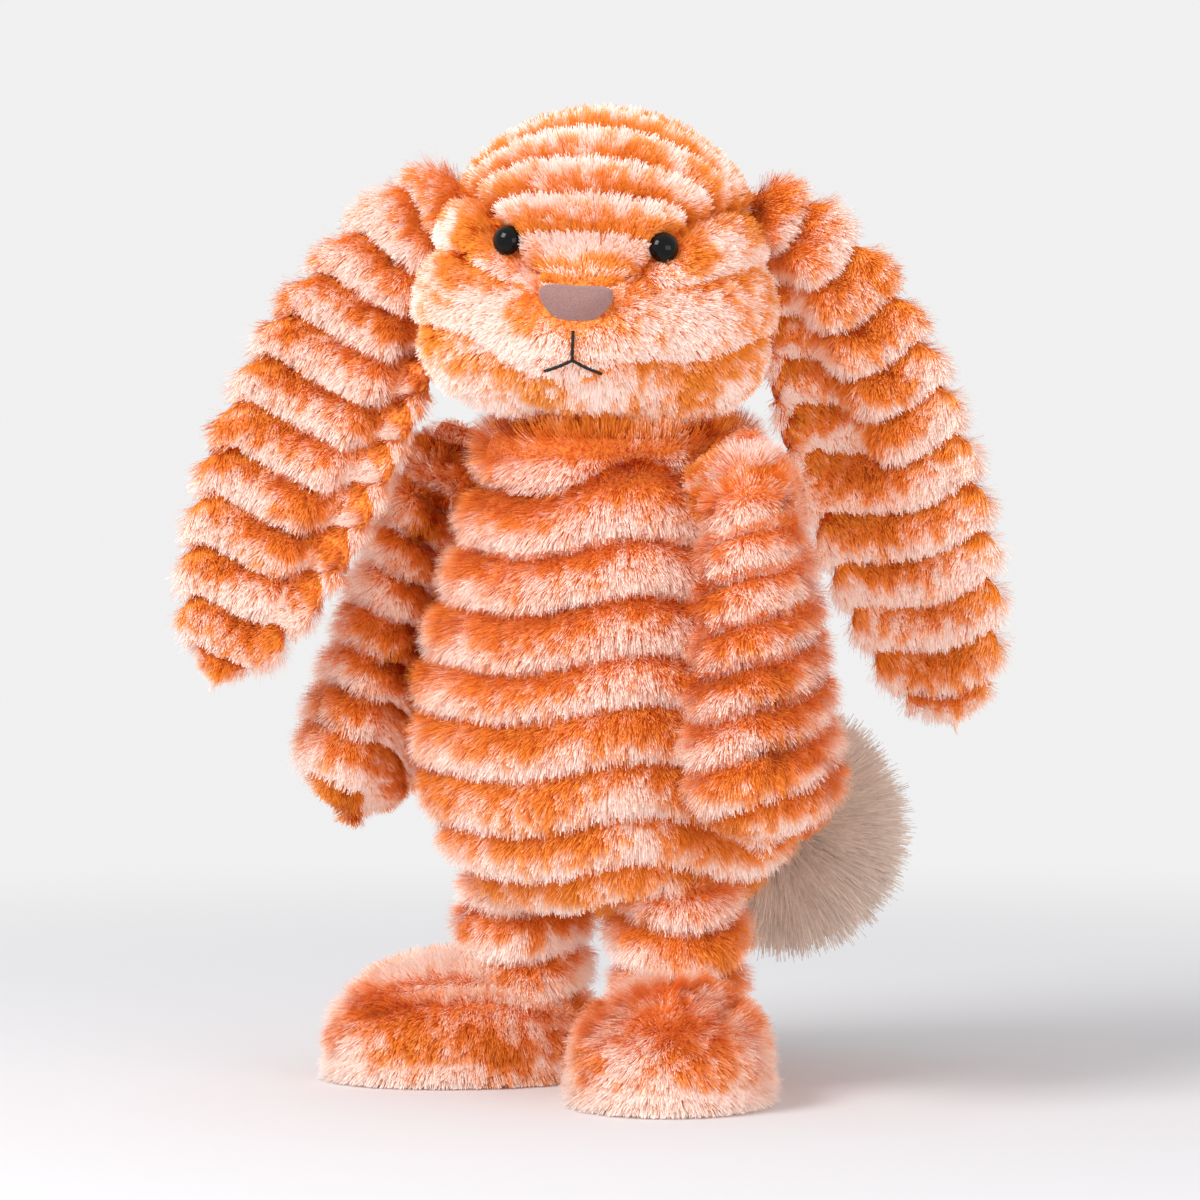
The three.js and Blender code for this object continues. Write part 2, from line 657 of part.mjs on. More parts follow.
function addHead() {
  const head = new THREE.Group();
  head.name = "head";
  head.position.copy(headCentre);
  head.rotation.set(0, radians(HEAD_ROLL), radians(HEAD_TURN));
  rabbit.add(head);
  head.updateMatrix();
  const toHead = head.matrix.clone().invert();
  const neck = neckCentre.clone().applyMatrix4(toHead);
  const down = UP.clone().negate().transformDirection(toHead);

  const slot = (side, radius, length) => {
    const half = new THREE.Vector3(0, length / 2, 0);
    return bar(radius, earHinge(side).sub(half), earHinge(side).add(half), 32);
  };
  const relief = turned(
    [[0, 0], [FAR / 6, -Math.tan(radians(NECK_RELIEF)) * (FAR / 6)], [FAR / 6, FAR / 6], [0, FAR / 6]],
    neck,
    down,
    32,
  );
  const mouth = bar(
    NECK_MOUTH,
    neck.clone().addScaledVector(down, NECK_MOUTH),
    neck.clone().addScaledVector(down, -SKIN),
    24,
  );
  const sockets = [
    ball(NECK_BALL + JOINT_GAP, neck),
    relief,
    mouth,
    slot(1, EAR_ROOT_RADIUS + JOINT_GAP, EAR_SLOT_LENGTH + 2 * SEAM_GAP),
    slot(-1, EAR_ROOT_RADIUS + JOINT_GAP, EAR_SLOT_LENGTH + 2 * SEAM_GAP),
    noseSocket(),
    ...[1, -1].map((side) => eyeBead(eyeSeat(side), SEAM_GAP)),
    ...[noseSeat, eyeSeat(1), eyeSeat(-1)].map((at) => lockWasher(at, 0, SEAM_GAP)),
  ];
  const outer = headForm({ segments: RINGS_PER_RIB * HEAD_RIBS, rings: 12, ribbed: true });
  const skin = cut(outer, headForm({ segments: 16, rings: 10, grow: -SKIN }), ...sockets);

  // The gusset runs from the nose between the eyes and widens over the crown to the nape.
  // The cheeks meet at the chin.
  const seamNormal = (side) =>
    new THREE.Vector3(side, -Math.tan(radians(GUSSET_SWEEP)), -Math.tan(radians(GUSSET_FLARE))).normalize();
  const seamAt = (side) =>
    seamNormal(side).dot(noseSeat.seat.clone().add(new THREE.Vector3(side * GUSSET_NOSE, 0, 0)));
  const chin = (gap) => beyond(UP.clone().negate(), CHIN_DROP + gap).intersect(beyond(FRONT, gap - neck.y));
  const cheekSpace = (side, gap) => join(beyond(seamNormal(side), seamAt(side) + gap), chin(gap));
  addPiece(head, "head_gusset", cut(skin, cheekSpace(1, 0), cheekSpace(-1, 0)), pile);
  for (const { side, word } of bodySides) {
    const half = beyond(new THREE.Vector3(side, 0, 0), SEAM_GAP / 2);
    addPiece(head, `head_cheek_${word}`, skin.intersect(cheekSpace(side, SEAM_GAP)).intersect(half), pile);
  }

  const fill = headForm({ segments: 16, rings: 10, grow: -SKIN - SEAM_GAP });
  addPiece(head, "head_fill", cut(fill, ...sockets), stuffing);
  addPiece(head, "nose", noseButton(), flock);
  addPiece(head, "nose_washer", lockWasher(noseSeat, SHANK_RADIUS + SEAM_GAP), washerPlastic);
  addPiece(head, "mouth_thread", mouthThread(), thread);
  for (const { side, word } of bodySides) {
    addPiece(head, `eye_${word}`, eyeBead(eyeSeat(side)), beadPlastic);
    addPiece(head, `eye_washer_${word}`, lockWasher(eyeSeat(side), SHANK_RADIUS + SEAM_GAP), washerPlastic);
  }

  const keepOut = headForm({ segments: HEAD_RIBS, rings: 12, grow: 2 * SEAM_GAP });
  const ears = [
    { side: 1, word: "left", out: LEFT_EAR_OUT, back: LEFT_EAR_BACK, arch: LEFT_EAR_BEND },
    { side: -1, word: "right", out: RIGHT_EAR_OUT, back: RIGHT_EAR_BACK, arch: RIGHT_EAR_BEND },
  ];
  for (const ear of ears) {
    const outside = cut(keepOut, slot(ear.side, EAR_ROOT_RADIUS, EAR_SLOT_LENGTH));
    addPiece(head, `ear_${ear.word}_lining`, cut(earPanel(ear, 1), outside), pile);
    addPiece(head, `ear_${ear.word}_back`, cut(earPanel(ear, -1), outside), pile);
  }
}

function addArm({ side, word, lean }) {
  const { normal, plane, centre } = shoulderOf(side);
  const down = UP.clone().negate().projectOnPlane(normal).normalize();
  down.applyAxisAngle(normal, side * radians(-lean));
  const across = new THREE.Vector3().crossVectors(normal, down);
  const middle = centre.clone().addScaledVector(normal, ARM_THICKNESS * 0.34 - SHOULDER_OUT);
  const shape = {
    spine: new THREE.LineCurve3(
      middle.clone().addScaledVector(down, -SHOULDER_RADIUS),
      middle.clone().addScaledVector(down, ARM_LENGTH - SHOULDER_RADIUS),
    ),
    outline: ARM_OUTLINE,
    width: ARM_WIDTH,
    depth: ARM_THICKNESS,
    sideways: across,
    sides: 12,
  };
  const limb = stuffedForm({ ...shape, ribs: RIB_DEPTH }).intersect(beyond(normal, plane + SEAM_GAP));
  const outer = join(limb, ball(SHOULDER_RADIUS, centre));
  const mouth = bar(
    SHOULDER_RADIUS - SKIN,
    centre.clone().addScaledVector(normal, -2 * SHOULDER_RADIUS),
    centre.clone().addScaledVector(normal, SKIN),
    10,
  );
  const hollow = (gap) =>
    stuffedForm({ ...shape, sides: 10, grow: -SKIN - gap }).intersect(beyond(normal, plane + SKIN + gap));
  addPiece(rabbit, `arm_${word}_skin`, cut(outer, hollow(0), mouth), pile);
  addPiece(rabbit, `arm_${word}_fill`, hollow(SEAM_GAP), stuffing);
}

// A foot lies along -Y from its leg; the form is cut flat underneath.
function footForm({ segments, rings, grow = 0 }) {
  const geometry = new THREE.SphereGeometry(1, segments, rings).rotateX(Math.PI / 2);
  const place = geometry.getAttribute("position");
  const rise = (FOOT_HEIGHT + FOOT_CUT) / 2;
  for (let i = 0; i < place.count; i++) {
    const direction = new THREE.Vector3().fromBufferAttribute(place, i);
    const swell = 1 - FOOT_TOE_SWELL * direction.y;
    place.setXYZ(
      i,
      direction.x * (FOOT_WIDTH / 2 + grow) * swell,
      direction.y * (FOOT_LENGTH / 2 + grow) - FOOT_LENGTH / 2 + FOOT_HEEL,
      direction.z * (rise + grow) + FOOT_HEIGHT - rise,
    );
  }
  return solidOf(geometry);
}

function addLeg({ side, word, splay }) {
  const leg = new THREE.Group();
  leg.name = `leg_${word}`;
  leg.position.copy(hipCentre(side)).setZ(0);
  leg.rotation.z = side * radians(splay);
  rabbit.add(leg);
  const hip = new THREE.Vector3(0, 0, HIP_HEIGHT);
  const ankle = new THREE.Vector3(0, 0, FOOT_HEIGHT / 2);
  const foot = footForm({ segments: 18, rings: 12 });
  const keepOut = footForm({ segments: 18, rings: 12, grow: SEAM_GAP * 2 });
  const above = (height) => beyond(UP, height);

  const hollow = (gap) =>
    join(ball(HIP_RADIUS - SKIN - gap, hip, 14), bar(LEG_RADIUS - SKIN - gap, ankle, hip, 12));
  const limb = join(ball(HIP_RADIUS, hip), bar(LEG_RADIUS, ankle, hip));
  addPiece(leg, `leg_${word}_skin`, cut(limb, hollow(0), keepOut), pile);
  addPiece(leg, `leg_${word}_fill`, cut(hollow(SEAM_GAP), keepOut), stuffing);

  const inside = (gap) => footForm({ segments: 14, rings: 8, grow: -SKIN - gap });
  addPiece(leg, `foot_${word}_upper`, cut(foot, inside(0)).intersect(above(SOLE + SEAM_GAP)), pile);
  addPiece(leg, `foot_${word}_fill`, inside(SEAM_GAP).intersect(above(SOLE + SEAM_GAP)), stuffing);
  addPiece(leg, `foot_${word}_sole`, cut(foot.intersect(above(0)), above(SOLE)), soleCloth);
}

function addTail() {
  const hollow = (gap) => ball(TAIL_RADIUS - SKIN - gap, tailCentre, 14);
  const mouth = bar(TAIL_MOUTH, tailCentre.clone().setY(tailCentre.y - 2 * TAIL_RADIUS), tailCentre);
  addPiece(rabbit, "tail_skin", cut(ball(TAIL_RADIUS, tailCentre, 20), hollow(0), mouth), tailPile);
  addPiece(rabbit, "tail_fill", hollow(SEAM_GAP), stuffing);
}

addBody();
addHead();
bodySides.forEach(addArm);
bodySides.forEach(addLeg);
addTail();

// The origin is on the floor, under the middle of the whole.
rabbit.updateMatrixWorld(true);
const extent = new THREE.Box3().setFromObject(rabbit, true);
const middle = extent.getCenter(new THREE.Vector3());
rabbit.position.set(-middle.x, -middle.y, -extent.min.z);

export default rabbit;
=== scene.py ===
"""A plush lop-eared rabbit: ribbed skins with strand pile, a sewn face and a pale studio stage."""

import math

import bmesh
import bpy
import numpy as np
from mathutils import Matrix, Vector


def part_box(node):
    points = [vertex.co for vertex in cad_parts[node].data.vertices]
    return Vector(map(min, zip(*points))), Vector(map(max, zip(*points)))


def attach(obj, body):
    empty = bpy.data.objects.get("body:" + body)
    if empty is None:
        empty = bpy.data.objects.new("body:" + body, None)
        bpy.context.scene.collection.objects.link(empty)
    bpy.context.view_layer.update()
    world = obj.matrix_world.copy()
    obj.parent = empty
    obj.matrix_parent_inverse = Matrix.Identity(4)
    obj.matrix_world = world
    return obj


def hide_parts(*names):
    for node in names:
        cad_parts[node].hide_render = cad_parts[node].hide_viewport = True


bl_info = {
    "name": "Plush Rabbit",
    "version": (1, 0, 0),
    "blender": (4, 5, 0),
    "location": "View3D > Sidebar > Plush Rabbit",
    "description": "Dresses the rabbit's solids in ribbed pile, with its face, soles and tail",
    "category": "Object",
}

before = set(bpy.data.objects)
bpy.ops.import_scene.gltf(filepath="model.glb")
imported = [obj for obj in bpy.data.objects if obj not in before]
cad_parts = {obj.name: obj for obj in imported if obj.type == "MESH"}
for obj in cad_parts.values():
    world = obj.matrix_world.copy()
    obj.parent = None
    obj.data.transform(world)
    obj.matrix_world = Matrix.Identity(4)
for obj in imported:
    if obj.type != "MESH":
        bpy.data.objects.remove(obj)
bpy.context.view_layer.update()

# Forms, in millimetres about the body's upright axis; the belly faces -Y and the rabbit's left is +X.
BODY_BASE, BODY_HEIGHT, BODY_WIDTH, BODY_DEPTH = 52, 162, 132, 126
BODY_TOP = BODY_BASE + BODY_HEIGHT
BODY_OUTLINE = [
    (0, 0), (0.02, 0.46), (0.07, 0.73), (0.15, 0.875), (0.25, 0.965), (0.36, 1), (0.48, 0.98),
    (0.6, 0.91), (0.73, 0.82), (0.85, 0.735), (0.92, 0.645), (0.95, 0.48), (0.975, 0.25), (1, 0),
]
BODY_GROOVES = [238, 215, 192, 175.5, 156.3, 136.8, 120.7, 101.8, 83.6, 68.5, 57, 44]
NECK_BALL, NECK_FORWARD = 15, 5
HEAD_WIDTH, HEAD_HEIGHT, HEAD_DEPTH = 105, 99, 90
HEAD_CENTRE = np.array([0, -8, BODY_TOP - 8 + HEAD_HEIGHT / 2])
HEAD_TURN, HEAD_ROLL, HEAD_RIBS = 32, 3, 20
FORM_BLEND = 3.5
HEAD_LUMPS = [
    ((0, 0, 0), (HEAD_WIDTH / 2, HEAD_DEPTH / 2, HEAD_HEIGHT / 2)),
    ((25, -13, -16), (31, 31, 31)),
    ((-25, -13, -16), (31, 31, 31)),
    ((0, -31, -19), (31, 25, 23)),
]
GUSSET_NOSE, GUSSET_FLARE, GUSSET_SWEEP, CHIN_DROP = 9, 33, 22, 22
EYE_RADIUS, EYE_DOME, EYE_SEAT = 4.8, 4.4, 2.2
EYE_AIM = np.array([29, -HEAD_DEPTH / 2, 10.5])
NOSE_WIDTH, NOSE_HEIGHT, NOSE_THICKNESS, NOSE_SEAT = 23, 12.5, 6, 2.4
NOSE_AIM = np.array([0, -56, -9])
SHANK_RADIUS, SHANK_LENGTH = 1.6, 13
MOUTH_THREAD, MOUTH_TWIST, MOUTH_STEM, MOUTH_HALF_WIDTH, MOUTH_ARM_DROP = 1.1, 2.2, 8, 9.5, 5.5
EAR_DROP, EAR_WIDTH, EAR_PANEL, EAR_CUP, EAR_DIP = 150, 64, 8, 8, 35
EAR_ROOT_RADIUS, EAR_ROOT_RISE, EAR_ROOT_BACK = 19, 13, 7
EAR_OUTLINE = [
    (0, 0.3), (0.04, 0.56), (0.15, 0.68), (0.35, 0.94), (0.52, 1),
    (0.7, 0.95), (0.85, 0.78), (0.95, 0.5), (1, 0),
]
EARS = {
    "left": {
        "side": 1, "out": 18, "back": 8, "arch": 21, "fold": (0.42, 0.62),
        "crease": [(0, 0.4), (0.3, 0.2), (0.6, -0.1), (1, -0.1)],
    },
    "right": {
        "side": -1, "out": 20, "back": -9, "arch": 15, "fold": (0.7, 0.9),
        "crease": [(0, 0.6), (0.4, 0.55), (0.7, 0.4), (1, 0.4)],
    },
}
ARM_LENGTH, ARM_WIDTH, ARM_THICKNESS, ARM_FORWARD, ARM_SPLAY = 130, 55, 43, 11, 12
SHOULDER_DROP, SHOULDER_RADIUS, SHOULDER_OUT = 24, 15, 5
ARM_OUTLINE = [
    (0, 0), (0.04, 0.36), (0.12, 0.6), (0.3, 0.74), (0.55, 0.86),
    (0.75, 0.98), (0.86, 1), (0.95, 0.74), (1, 0),
]
ARM_LEAN = {"left": 8, "right": 6}
HIP_SPREAD, HIP_FORWARD, HIP_HEIGHT, HIP_RADIUS, LEG_RADIUS = 31.5, 8, 52, 22.5, 21
FOOT_LENGTH, FOOT_WIDTH, FOOT_HEIGHT, FOOT_HEEL, FOOT_CUT, TOE_SWELL = 88, 61, 40, 25, 14, 0.1
FOOT_SPLAY = {"left": 33, "right": 43}
SOLE = 3
TAIL_RADIUS, TAIL_HEIGHT, TAIL_SINK, TAIL_HAIR_DEPTH = 31, 74, 3, 15
SIDES = {"left": 1, "right": -1}
FRONT = np.array([0, -1, 0])
UP = np.array([0, 0, 1])

# Swells, folds and hollows of the cloth, in millimetres
TOP_ROLL_SWELL, EAR_LOBE, EAR_TUCK = 6.5, 3.0, 6.5
EYE_HOLLOW, SEAM_HOLLOW, FOOT_CREASE = 1.2, 4.0, 3.0
# Place and width of the crease along each side of a foot, in radians from its top
FOOT_CREASE_AT, FOOT_CREASE_WIDTH = 0.75, 0.16
# Pile of the collar: how far it stands up, where 1 is upright, and its extra length as a share
COLLAR_STAND, COLLAR_PILE = 1.2, 0.2
# Heights where the ribs of the legs and the bands of the cheeks start, and the bands' pitch, in millimetres
LEG_TOP_RIB, CHEEK_TOP_BAND, CHEEK_BAND = 73, 40, 24
# Slant of the arms' ribs and where the first one starts, in ribs
ARM_SLANT, ARM_FIRST_RIB = 0.7, 0.55
# Tints: the part of a rib by which the pile turns pale sooner, or stays orange longer where it is below 0.
# The seam tint, the arms' inside tint and the feet's crease tint are painted shade: darker orange in the
# seam's crease, where an arm lies against the body, and in the feet's creases.
COLLAR_TINT, EAR_END_TINT = -0.55, 0.6
GUSSET_TINT, CHEEK_TINT, EYE_CORNER_TINT, SEAM_SHADE_TINT = 0.06, 0.1, -0.6, -0.35
ARM_TOP_TINT, ARM_INSIDE_SHADE_TINT, FOOT_TINT, FRINGE_TINT, CREASE_SHADE_TINT = -0.1, -0.4, 0.14, 0.4, -0.25
# Distance over which the body's pile turns pale and size of the feet's pale patches, in metres
BODY_BAND, FOOT_PATCH = 0.018, 0.024
# Number of the body's strands and length of the ears', as shares of those of the limbs
BODY_DENSITY, EAR_PILE = 0.71, 0.9
# The tail's hair: number and tuft size as shares of those of the limbs, then its own settings
TAIL_DENSITY, TAIL_TUFT = 3.6, 0.8
TAIL_LOFT, TAIL_STRAY, TAIL_GATHER, TAIL_SEED = 1.8, 0.8, 0.6, 90

# Where the body's axis stands in the frame, in metres
_front_low, _front_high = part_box("body_front")
AXIS = np.array([(_front_low.x + _front_high.x) / 2, _front_high.y + 0.00015, 0])


def length_value(label, text, default, low=0.0, high=1.0):
    return bpy.props.FloatProperty(
        name=label, description=text, default=default, min=low, max=high, unit="LENGTH", precision=5
    )


def colour_value(label, text, hexa):
    return bpy.props.FloatVectorProperty(
        name=label, description=text, default=linear(hexa), size=4, min=0, max=1, subtype="COLOR"
    )


def linear(hexa):
    """A colour written in hex, as linear values with full opacity."""
    parts = [int(hexa[i : i + 2], 16) / 255 for i in (1, 3, 5)]
    return tuple(c / 12.92 if c <= 0.04045 else ((c + 0.055) / 1.055) ** 2.4 for c in parts) + (1.0,)


class RabbitSizes(bpy.types.PropertyGroup):
    rib_pitch: length_value("Rib Pitch", "Distance from rib to rib on the limbs and ears", 0.0152)
    rib_depth: length_value("Rib Depth", "Depth of the grooves between ribs, under the pile", 0.0058)
    pile_sink: length_value("Pile Height", "How far the cloth lies under the pile's surface", 0.0042)
    pile_length: length_value("Pile Length", "Length of a strand of the pile", 0.0064)
    strand_width: length_value("Strand Width", "Width of a strand at its tip", 0.00023)
    pile_density: bpy.props.FloatProperty(
        name="Pile Density", description="Strands to a square metre of cloth", default=8.5e6, min=0
    )
    tail_length: length_value("Tail Hair", "Length of the tail's hair", 0.013)
    tuft: length_value("Tuft Size", "Width of the tufts that the strands gather in", 0.0036)
    cloth: length_value("Cloth Thickness", "Thickness of the cloth under the pile", 0.0008)


class RabbitColours(bpy.types.PropertyGroup):
    # The root colour is the pile's deep red-orange, darkened to paint the shade in the grooves between ribs
    root: colour_value("Root", "Depth of the pile, in the grooves", "#d04a06")
    orange: colour_value("Orange", "Middle of the strands", "#ffa03c")
    peach: colour_value("Peach", "Where the strands turn pale", "#ffb06a")
    tip: colour_value("Tip", "Pale tips of the strands", "#fdebe2")
    # The tail's colours are darkened from its cream-white as painted shade from the body, and the root colour
    # darker still as painted shade in the depth of the hair
    tail: colour_value("Tail", "Tail hair", "#dfcdc0")
    tail_root: colour_value("Tail Root", "Depth of the tail hair", "#aa8e81")
    nose: colour_value("Nose", "Flock on the nose", "#ab807b")
    bead: colour_value("Bead", "Eyes", "#0b0908")
    thread: colour_value("Thread", "Mouth", "#17110f")
    sole: colour_value("Sole", "Cloth under the feet", "#e08a4e")
    wadding: colour_value("Wadding", "Stuffing at the neck", "#efeae0")
    washer: colour_value("Washer", "Lock washers", "#e3e2dc")
    floor: colour_value("Floor", "Studio floor", "#e4e4e6")


def smooth(low, high, x):
    t = np.clip((np.asarray(x, float) - low) / (high - low), 0, 1)
    return t * t * (3 - 2 * t)


def unit(v):
    return v / np.maximum(np.linalg.norm(v, axis=-1, keepdims=True), 1e-9)


def read_table(table, places):
    """The values of a table of (place, value) rows at any places, on a smooth curve."""
    rows = np.array(table, float)
    last = len(rows) - 1
    places = np.asarray(places, float)
    after = np.clip(np.searchsorted(rows[:, 0], places), 1, last)
    b, f, t, a = (rows[np.clip(after + k, 0, last)] for k in (-2, -1, 0, 1))
    span = t[..., 0] - f[..., 0]
    x = np.clip((places - f[..., 0]) / span, 0, 1)
    enter = (t[..., 1] - b[..., 1]) / (t[..., 0] - b[..., 0]) * span
    leave = (a[..., 1] - f[..., 1]) / (a[..., 0] - f[..., 0]) * span
    bend = f[..., 1] - t[..., 1]
    return f[..., 1] + x * (enter + x * (-3 * bend - 2 * enter - leave + x * (2 * bend + enter + leave)))


def turn(axis, degrees):
    return np.array(Matrix.Rotation(math.radians(degrees), 3, Vector(axis)))


HEAD_MATRIX = turn((0, 1, 0), HEAD_ROLL) @ turn((0, 0, 1), HEAD_TURN)


def head_to_body(points):
    return points @ HEAD_MATRIX.T + HEAD_CENTRE


def head_reach(directions):
    """Distance from the head's centre to its surface: oval lumps run smoothly together."""
    reaches = []
    for centre, radii in HEAD_LUMPS:
        ray = directions / np.array(radii)
        start = np.array(centre) / np.array(radii)
        a = (ray * ray).sum(-1)
        b = ray @ start
        within = b * b - a * (start @ start - 1)
        reach = np.where(within > 0, (b + np.sqrt(np.maximum(within, 0))) / a, 0)
        reaches.append(np.maximum(reach, 0))
    return FORM_BLEND * np.logaddexp.reduce(np.array(reaches) / FORM_BLEND, axis=0)


def head_point(aim, grow=0.0):
    out = unit(np.asarray(aim, float))
    return out * (head_reach(out) + grow)[..., None]


def crest(rib):
    """Height of the cloth over a rib: it swells from the groove and drops steeply into the next one."""
    phase = np.mod(rib, 1)
    return smooth(-0.12, 0.5, phase) * (1 - np.maximum(2 * phase - 1, 0) ** 5)


def grid_frame(points):
    """Outward directions and nap directions of a grid whose rows follow the nap and close on themselves."""
    along = np.gradient(points, axis=0)
    across = np.roll(points, -1, 1) - np.roll(points, 1, 1)
    lift = unit(np.cross(across, along))
    middle = points.reshape(-1, 3).mean(0)
    if ((points - middle) * lift).sum(-1).mean() < 0:
        lift = -lift
    return lift, unit(along)


# How far the pile follows the roll of each rib, rather than the form under it
ROLL = 0.75
# Lean of a strand from upright, in radians
LEAN = 0.68
# What a skin holds at each place for its pile
SKIN_FIELDS = ("lift", "nap", "rib", "pile", "cover", "tint", "mottle")


class Skin:
    """A grid of cloth with what its pile needs at each place; rows follow the nap."""

    def __init__(self, surface, rib, depth, sink):
        shown = surface(0.0)
        self.shown = shown
        self.rib = np.broadcast_to(rib, shown.shape[:2]).astype(float)
        self.lift, self.nap = grid_frame(shown)
        self.at = surface(-(sink + depth * (1 - crest(self.rib))))
        rolled = grid_frame(self.at)[0]
        self.lift = unit(self.lift * (1 - ROLL) + rolled * ROLL)
        phase = np.mod(self.rib, 1)
        ribbed = np.minimum(np.broadcast_to(depth, shown.shape[:2]) / 3, 1)
        self.pile = 1 - ribbed * (0.5 * (1 - smooth(0, 0.3, phase)) + 0.4 * smooth(0.86, 1, phase))
        self.cover = 1 - 0.7 * ribbed * (1 - smooth(0, 0.1, 0.5 - np.abs(phase - 0.5)))
        self.tint = np.zeros(shown.shape[:2])
        self.mottle = np.full(shown.shape[:2], 0.5)

    def stand(self, share):
        """Stands the pile upright where the share is 1."""
        angle = (LEAN * share)[..., None]
        nap = self.nap * np.cos(angle) + self.lift * np.sin(angle)
        self.lift = self.lift * np.cos(angle) - self.nap * np.sin(angle)
        self.nap = nap

    def mesh(self, name, columns=None):
        """A Blender mesh of all the columns, or of a run of them, filled at both ends and facing out."""
        picked = slice(None) if columns is None else columns
        at = self.at[:, picked]
        rows, count = at.shape[:2]
        index = np.arange(rows * count).reshape(rows, count)
        here, beside = (index, np.roll(index, -1, 1)) if columns is None else (index[:, :-1], index[:, 1:])
        quads = np.stack([here[:-1], beside[:-1], beside[1:], here[1:]], -1).reshape(-1, 4)
        fields = {key: getattr(self, key)[:, picked] for key in SKIN_FIELDS}
        points = at.reshape(-1, 3)
        data = {key: value.reshape(len(points), -1) for key, value in fields.items()}
        faces = quads.tolist()
        for row in (0, rows - 1):
            points = np.vstack([points, at[row].mean(0)])
            for key, value in fields.items():
                data[key] = np.vstack([data[key], value[row].reshape(count, -1).mean(0)])
            rim = zip(here[row], beside[row])
            faces += [[a, b, len(points) - 1] if row else [b, a, len(points) - 1] for a, b in rim]
        first = points[quads[len(quads) // 2]]
        normal = np.cross(first[1] - first[0], first[3] - first[0])
        if normal @ data["lift"][quads[len(quads) // 2][0]] < 0:
            faces = [face[::-1] for face in faces]
        made = plain_mesh(name, points, faces)
        for key, value in data.items():
            vector = value.shape[1] == 3
            layer = made.attributes.new(key, "FLOAT_VECTOR" if vector else "FLOAT", "POINT")
            layer.data.foreach_set("vector" if vector else "value", value.astype(np.float32).ravel())
        return made


def plain_mesh(name, points, faces):
    """A mesh in the frame's metres from points in millimetres about the body's axis."""
    made = bpy.data.meshes.new(name)
    made.from_pydata((np.asarray(points) * 0.001 + AXIS).tolist(), [], faces)
    made.polygons.foreach_set("use_smooth", [True] * len(made.polygons))
    made.update()
    return made


def face_out(mesh):
    """Turns the faces of a closed mesh outward."""
    work = bmesh.new()
    work.from_mesh(mesh)
    bmesh.ops.recalc_face_normals(work, faces=work.faces)
    work.to_mesh(mesh)
    work.free()


def add_object(name, mesh):
    made = bpy.data.objects.new(name, mesh)
    bpy.context.scene.collection.objects.link(made)
    return made


def add_piece(name, mesh, finishing, body, node):
    """A finished piece in place of a solid."""
    made = add_object(name, mesh)
    made.data.materials.append(material(finishing))
    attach(made, body)
    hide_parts(node)


def apply_modifiers(made):
    """Turns an object's modifiers into plain mesh."""
    bpy.context.view_layer.update()
    graph = bpy.context.evaluated_depsgraph_get()
    mesh = bpy.data.meshes.new_from_object(made.evaluated_get(graph), depsgraph=graph)
    mesh.name = made.name
    old = made.data
    made.modifiers.clear()
    made.data = mesh
    bpy.data.meshes.remove(old)


class Wires:
    """Adds nodes to a tree; an input given as a socket is linked, anything else is set."""

    def __init__(self, tree):
        self.tree = tree

    def add(self, kind, inputs=None, **settings):
        node = self.tree.nodes.new(kind)
        for key, value in settings.items():
            setattr(node, key, value)
        for key, value in (inputs or {}).items():
            socket = self.pick(node.inputs, key)
            if isinstance(value, bpy.types.NodeSocket):
                self.tree.links.new(value, socket)
            else:
                socket.default_value = value
        return node

    @staticmethod
    def pick(sockets, key):
        if isinstance(key, int):
            return sockets[key]
        return next(s for s in sockets if s.name == key and s.enabled)

    def math(self, operation, *values):
        return self.add("ShaderNodeMath", dict(enumerate(values)), operation=operation).outputs[0]

    def vector(self, operation, *values, scale=None):
        inputs = dict(enumerate(values))
        if scale is not None:
            inputs["Scale"] = scale
        node = self.add("ShaderNodeVectorMath", inputs, operation=operation)
        return next(s for s in node.outputs if s.enabled)

    def named(self, name, kind="FLOAT"):
        node = self.add("GeometryNodeInputNamedAttribute", {"Name": name}, data_type=kind)
        return next(s for s in node.outputs if s.enabled)

    def chance(self, low, high, seed):
        given = {2: low, 3: high, "Seed": seed}
        return self.add("FunctionNodeRandomValue", given, data_type="FLOAT").outputs[1]

    def noise(self, place, scale, detail=1.0):
        return self.add("ShaderNodeTexNoise", {"Vector": place, "Scale": scale, "Detail": detail})

    def ramp(self, value, low, high, to_low=0.0, to_high=1.0):
        return self.add(
            "ShaderNodeMapRange",
            {0: value, 1: low, 2: high, 3: to_low, 4: to_high},
            interpolation_type="SMOOTHSTEP",
        ).outputs[0]

    def store(self, geometry, name, value, kind="FLOAT", domain="POINT"):
        node = self.add(
            "GeometryNodeStoreNamedAttribute",
            {"Geometry": geometry, "Name": name},
            data_type=kind,
            domain=domain,
        )
        self.tree.links.new(value, self.pick(node.inputs, "Value"))
        return node.outputs[0]


# How far a blade leans over and rises, as shares of its length
BLADE_OVER, BLADE_RISE = 0.6, 0.75
# Share of a strand's tone that its root keeps
ROOT_TONE = 0.6
# Height at which strands stop above the floor, in metres
FLOOR_CLEARANCE = 0.0004

PILE_INPUTS = {
    "Density": ("NodeSocketFloat", 1.0e6),
    "Length": ("NodeSocketFloat", 0.01),
    "Width": ("NodeSocketFloat", 0.0004),
    "Loft": ("NodeSocketFloat", 1.0),
    "Stray": ("NodeSocketFloat", 0.34),
    "Tuft Size": ("NodeSocketFloat", 0.006),
    "Gather": ("NodeSocketFloat", 0.16),
    "Patch Size": ("NodeSocketFloat", 0.02),
    "Rib Pitch": ("NodeSocketFloat", 0.0155),
    "Seed": ("NodeSocketInt", 0),
    "Material": ("NodeSocketMaterial", None),
}


